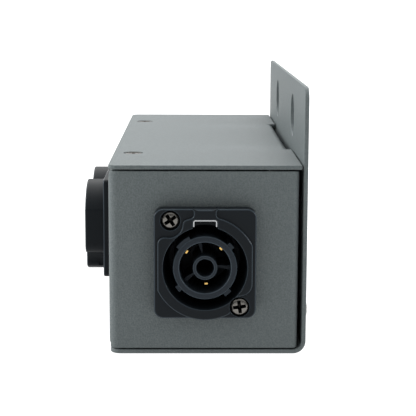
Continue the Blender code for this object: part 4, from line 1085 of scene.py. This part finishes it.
def insulation(pole, name, base, stripe=None):
    """Extruded PVC: smooth and soft, a dull gloss with slight ripples; the earth's yellow stripe is
    half of its round, read from the wire's own attribute."""
    made, tree, shader = finish_of(name, base, 0.42, IOR=1.53)
    grain(tree, shader, 0.6 * MM, 0.02 * MM, 0.35)
    if stripe:
        band = node(tree, "Attribute", {"attribute_name": "stripe"}).outputs["Fac"]
        edge = node(tree, "MapRange", {"From Min": 0.35, "From Max": 0.42}, band)
        blend(tree, shader, edge.outputs["Result"], base, stripe)
    return made, f"wire_{pole}_insulation"


INSULATION = {
    "line": insulation("line", "brown PVC", "#5A3420"),
    "neutral": insulation("neutral", "blue PVC", "#2060A8"),
    "earth": insulation("earth", "green and yellow PVC", "#2E8B3A", "#E3CF2E"),
}


def wire(name, route):
    """A wire along a route, with its stripe's place kept on its points: the cosine of the angle round
    the wire, which turns slowly along it."""
    rings = along(route)
    made = skin(name, rings)
    length = np.concatenate([[0], np.cumsum(np.linalg.norm(np.diff(route, axis=0), axis=1))])
    turn = full_turn(rings.shape[1])[None, :]
    band = np.cos(turn + length[:, None] / (9 * MM))
    made.data.attributes.new("stripe", "FLOAT", "POINT").data.foreach_set("value", band.ravel())
    return made


def receptacle(name, seat, angle):
    """An insulated receptacle: a flattened round section that narrows to the crimp, with a bell at its
    front, lofted along its axis, and a flat mouth for the tab."""
    share = np.array([0.0, 0.02, 0.06, 0.5, 0.58, 0.66, 0.94, 0.98, 1.0])[:, None]
    wide = np.array([3.1, 3.3, 3.35, 3.35, 3.3, 3.25, 3.25, 3.2, 3.0])[:, None] * MM
    deep = np.array([2.0, 2.2, 2.3, 2.3, 2.1, 1.75, 1.75, 1.7, 1.5])[:, None] * MM
    turn = full_turn(40)[None, :]
    squared = 0.65
    x = wide * np.sign(np.cos(turn)) * np.abs(np.cos(turn)) ** squared
    z = deep * np.sign(np.sin(turn)) * np.abs(np.sin(turn)) ** squared
    y = SLEEVE_FRONT - share * SLEEVE_LENGTH + 0 * turn
    made = skin(name, np.stack([x, y, z], axis=-1))
    mouth = oblong(-HALF_MOUTH, HALF_MOUTH, 0.3 * MM, 3)
    cutter = skin("cutter", stacked(mouth, [0, 0], [SLEEVE_FRONT - MOUTH_DEPTH, SLEEVE_FRONT + PAST]))
    moved(cutter, lambda points: points[:, [0, 2, 1]] * (-1, 1, 1))
    carve(made, [cutter])
    stood(made, contact_centre(angle), contact_axes(angle))
    return moved(made, seat.world)


def wire_end(seat, angle, inside=SLEEVE_GRIP):
    """World point on a receptacle's axis, measured forward from its rear."""
    return seat.world(contact_centre(angle) + (0, 0, SLEEVE_FRONT - SLEEVE_LENGTH + inside))


def between(start, end, offsets):
    """Places at even steps from start to end, each moved off the straight line by its offset."""
    share = (np.arange(len(offsets)) + 1)[:, None] / (len(offsets) + 1)
    return start + (end - start) * share + np.array(offsets) * MM


side = np.array([WIRE_OFFSET, 0, 0])
lead_out = np.array([0, SLEEVE_GRIP + WIRE_LEAD, 0])
for pole, (first_run, second_run) in WIRE_RUNS.items():
    start = wire_end(seats["inlet"], CONTACT_ANGLES[pole])
    clear = start - np.array([SLEEVE_GRIP + WIRE_LEAD, 0, 0])
    near = wire_end(seats["outlet_a"], outlet_angles[pole])
    far = wire_end(seats["outlet_b"], outlet_angles[pole])
    arriving = near + side + lead_out
    leaving = near - side + lead_out
    last = far + side + lead_out
    first = smooth_route([start, clear, *between(clear, arriving, first_run), arriving, near + side])
    second = smooth_route([near - side, leaving, *between(leaving, last, second_run), last, far + side])
    for label, route in (("inlet_run", first), ("link_run", second)):
        settle(wire(f"wire_{pole}_{label}", route), f"wire_{pole}", INSULATION[pole])
    for name, seat in seats.items():
        angle = (CONTACT_ANGLES if name == "inlet" else outlet_angles)[pole]
        boot = receptacle(f"wire_{pole}_{name}_receptacle", seat, angle)
        settle(boot, f"wire_{pole}", INSULATION[pole])

# Earth stud
# A steel stud on the bottom plate with a hexagon nut. A ring terminal crimped on a short green and
# yellow wire bonds the case to the far outlet's earth.
STUD_RADIUS = 2.0 * MM
STUD_PITCH = 0.7 * MM
SHANK_FOOT = 1.3 * MM
STUD_FOOT = np.array([(3.8, 0.0), (4.0, 0.15), (4.0, 1.0), (3.8, 1.2), (2.0, 1.2)]) * MM
NUT_CORNERS = 4.0 * MM
NUT_EDGE = 0.3 * MM
NUT_PLAY = 0.05 * MM
stud_low, stud_high = np.array(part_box("earth_stud"))
stud_place = np.array([*((stud_low + stud_high) / 2)[:2], stud_low[2]])
shank = thread_rings(SHANK_FOOT, stud_high[2] - stud_low[2], STUD_RADIUS, STUD_PITCH)
stud = skin("earth_stud_metal", np.concatenate([revolved(STUD_FOOT, THREAD_SIDES), shank]))
settle(stood(stud, stud_place), "earth_stud", NICKEL)

nut_low, nut_high = np.array(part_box("earth_nut"))[:, 2] - stud_low[2]
nut = slab("earth_nut_metal", rounded(circle(NUT_CORNERS, sides=6), 0.4 * MM, 3), nut_low, nut_high, NUT_EDGE)
carve(nut, [punch(circle(STUD_RADIUS + NUT_PLAY), nut_low, nut_high, NUT_EDGE)])
settle(stood(nut, stud_place), "earth_nut", NICKEL)

TERMINAL_LOW = 1.5 * MM
TERMINAL_HIGH = 2.5 * MM
TERMINAL_RADIUS = 4.2 * MM
TERMINAL_PLAY = 0.15 * MM
LUG_STEP = 0.05 * MM
CRIMP_RISE = 0.52 * MM
terminal = slab("earth_ring_terminal", circle(TERMINAL_RADIUS), TERMINAL_LOW, TERMINAL_HIGH, 0.15 * MM)
lug_outline = rounded(both_sides([(2 * MM, -1.6 * MM), (6.2 * MM, -1.5 * MM)], (1, -1)), 0.3 * MM, 3)
lug = slab("lug", lug_outline, TERMINAL_LOW + LUG_STEP, TERMINAL_HIGH - LUG_STEP, 0.1 * MM)
carve(terminal, [lug], "UNION")
carve(terminal, [punch(circle(STUD_RADIUS + TERMINAL_PLAY), TERMINAL_LOW, TERMINAL_HIGH, 0.12 * MM)])
settle(stood(terminal, stud_place), "earth_bond_wire", NICKEL)

crimp = wire_end(seats["outlet_b"], outlet_angles["earth"], -0.3 * MM) - side
rise = (TERMINAL_LOW + TERMINAL_HIGH) / 2 + CRIMP_RISE
bond_route = smooth_route([
    crimp + (0, -2.5 * MM, 0),
    crimp,
    crimp + (0, 4 * MM, 0),
    stud_place + (14 * MM, 7 * MM, 7 * MM),
    stud_place + (TERMINAL_RADIUS + 4 * MM, 1.5 * MM, rise),
    stud_place + (TERMINAL_RADIUS + 0.2 * MM, 0, rise),
])
settle(wire("earth_bond_run", bond_route), "earth_bond_wire", INSULATION["earth"])

# Studio
# A light table under a soft sky that is bright overhead and behind the plane of the inlet's face and
# dim in front of it, so the end face is the darkest in view. Two side lights draw the edges.
REAR_SKY = 2.5


def sky_strength(tree):
    """Radiance of the sky: with s a smooth step, it is the front's radiance, which rises from the
    horizon up, plus the rear's times s(back) times s(height)."""
    way = node(tree, "TexCoord").outputs["Generated"]
    axes = node(tree, "SeparateXYZ", {}, way).outputs
    smooth = {"interpolation_type": "SMOOTHSTEP"}
    front = {**smooth, "From Min": 0.05, "From Max": 0.6, "To Min": 0.06, "To Max": 1.0}
    ahead = node(tree, "MapRange", front, axes["Z"])
    back = node(tree, "MapRange", {**smooth, "From Min": 0.12, "From Max": -0.2}, axes["X"])
    high = node(tree, "MapRange", {**smooth, "From Min": 0.1, "From Max": 0.6}, axes["Z"])
    rear = node(tree, "Math", {"operation": "MULTIPLY"}, back.outputs[0], high.outputs[0])
    both = node(tree, "Math", {"operation": "MULTIPLY_ADD"}, rear.outputs[0])
    both.inputs[1].default_value = REAR_SKY
    tree.links.new(ahead.outputs[0], both.inputs[2])
    return both.outputs[0]


world = bpy.data.worlds.new("studio")
bpy.context.scene.world = world
world.use_nodes = True
sky = world.node_tree.nodes["Background"]
sky.inputs["Color"].default_value = (1, 1, 1, 1)
world.node_tree.links.new(sky_strength(world.node_tree), sky.inputs["Strength"])
bpy.context.scene.view_settings.view_transform = "Standard"

FLOOR_REACH = 400.0
FLOOR_DROP = 0.2 * MM
floor_mesh = bpy.data.meshes.new("floor")
corners = [(x * FLOOR_REACH, y * FLOOR_REACH, 0) for x, y in ((-1, -1), (1, -1), (1, 1), (-1, 1))]
floor_mesh.from_pydata(corners, [], [(0, 1, 2, 3)])
floor = placed("floor", floor_mesh)
floor.location.z = -FLOOR_DROP
glow = {"Specular_IOR_Level": 0.0, "Emission_Color": (1, 1, 1, 1), "Emission_Strength": 1.05}
table = finish_of("light table", "#7C7C7C", 0.9, **glow)[0]
floor_mesh.materials.append(table)


def aimed(name, data, across, above, back, place=(0, 0, 0)):
    """A lamp or a camera at a place, which looks against back with across to its right."""
    made = placed(name, data)
    turn = np.eye(4)
    turn[:3] = np.column_stack([across, above, back, place])
    made.matrix_world = Matrix(turn.tolist())
    return made


def side_light(name, way, width, strength):
    """A wide distant light that shines along a direction; its width is an angle in degrees."""
    lamp = bpy.data.lights.new(name, "SUN")
    lamp.angle = math.radians(width)
    lamp.energy = strength
    back = -np.array(way, float)
    back /= np.linalg.norm(back)
    across = np.cross((0, 0, 1), back)
    across /= np.linalg.norm(across)
    aimed(name, lamp, across, np.cross(back, across), back)


side_light("outlet side", (0.05, 1.0, -0.35), 30, 2.4)
side_light("flange side", (0.05, -1.0, -0.35), 30, 2.0)

# Camera
# A pinhole fitted to the edges of the case in the photograph, taken as 416 by 416 pixels.
FOCAL_PIXELS = 1290.13
PICTURE_PIXELS = 416
SENSOR = 36.0
CAMERA_PLACE = np.array([426.80, -4.01, 98.37]) * MM
YAW, PITCH, ROLL = 0.0138, 0.1621, 0.0039
forward = np.array([-math.cos(YAW) * math.cos(PITCH), math.sin(YAW) * math.cos(PITCH), -math.sin(PITCH)])
level = np.array([math.sin(YAW), math.cos(YAW), 0.0])
above = np.cross(level, forward)
right = math.cos(ROLL) * level + math.sin(ROLL) * above
up = math.cos(ROLL) * above - math.sin(ROLL) * level
lens = bpy.data.cameras.new("camera")
lens.sensor_width = SENSOR
lens.lens = FOCAL_PIXELS / PICTURE_PIXELS * SENSOR
lens.clip_start = 0.01
bpy.context.scene.camera = aimed("camera", lens, right, up, -forward, CAMERA_PLACE)
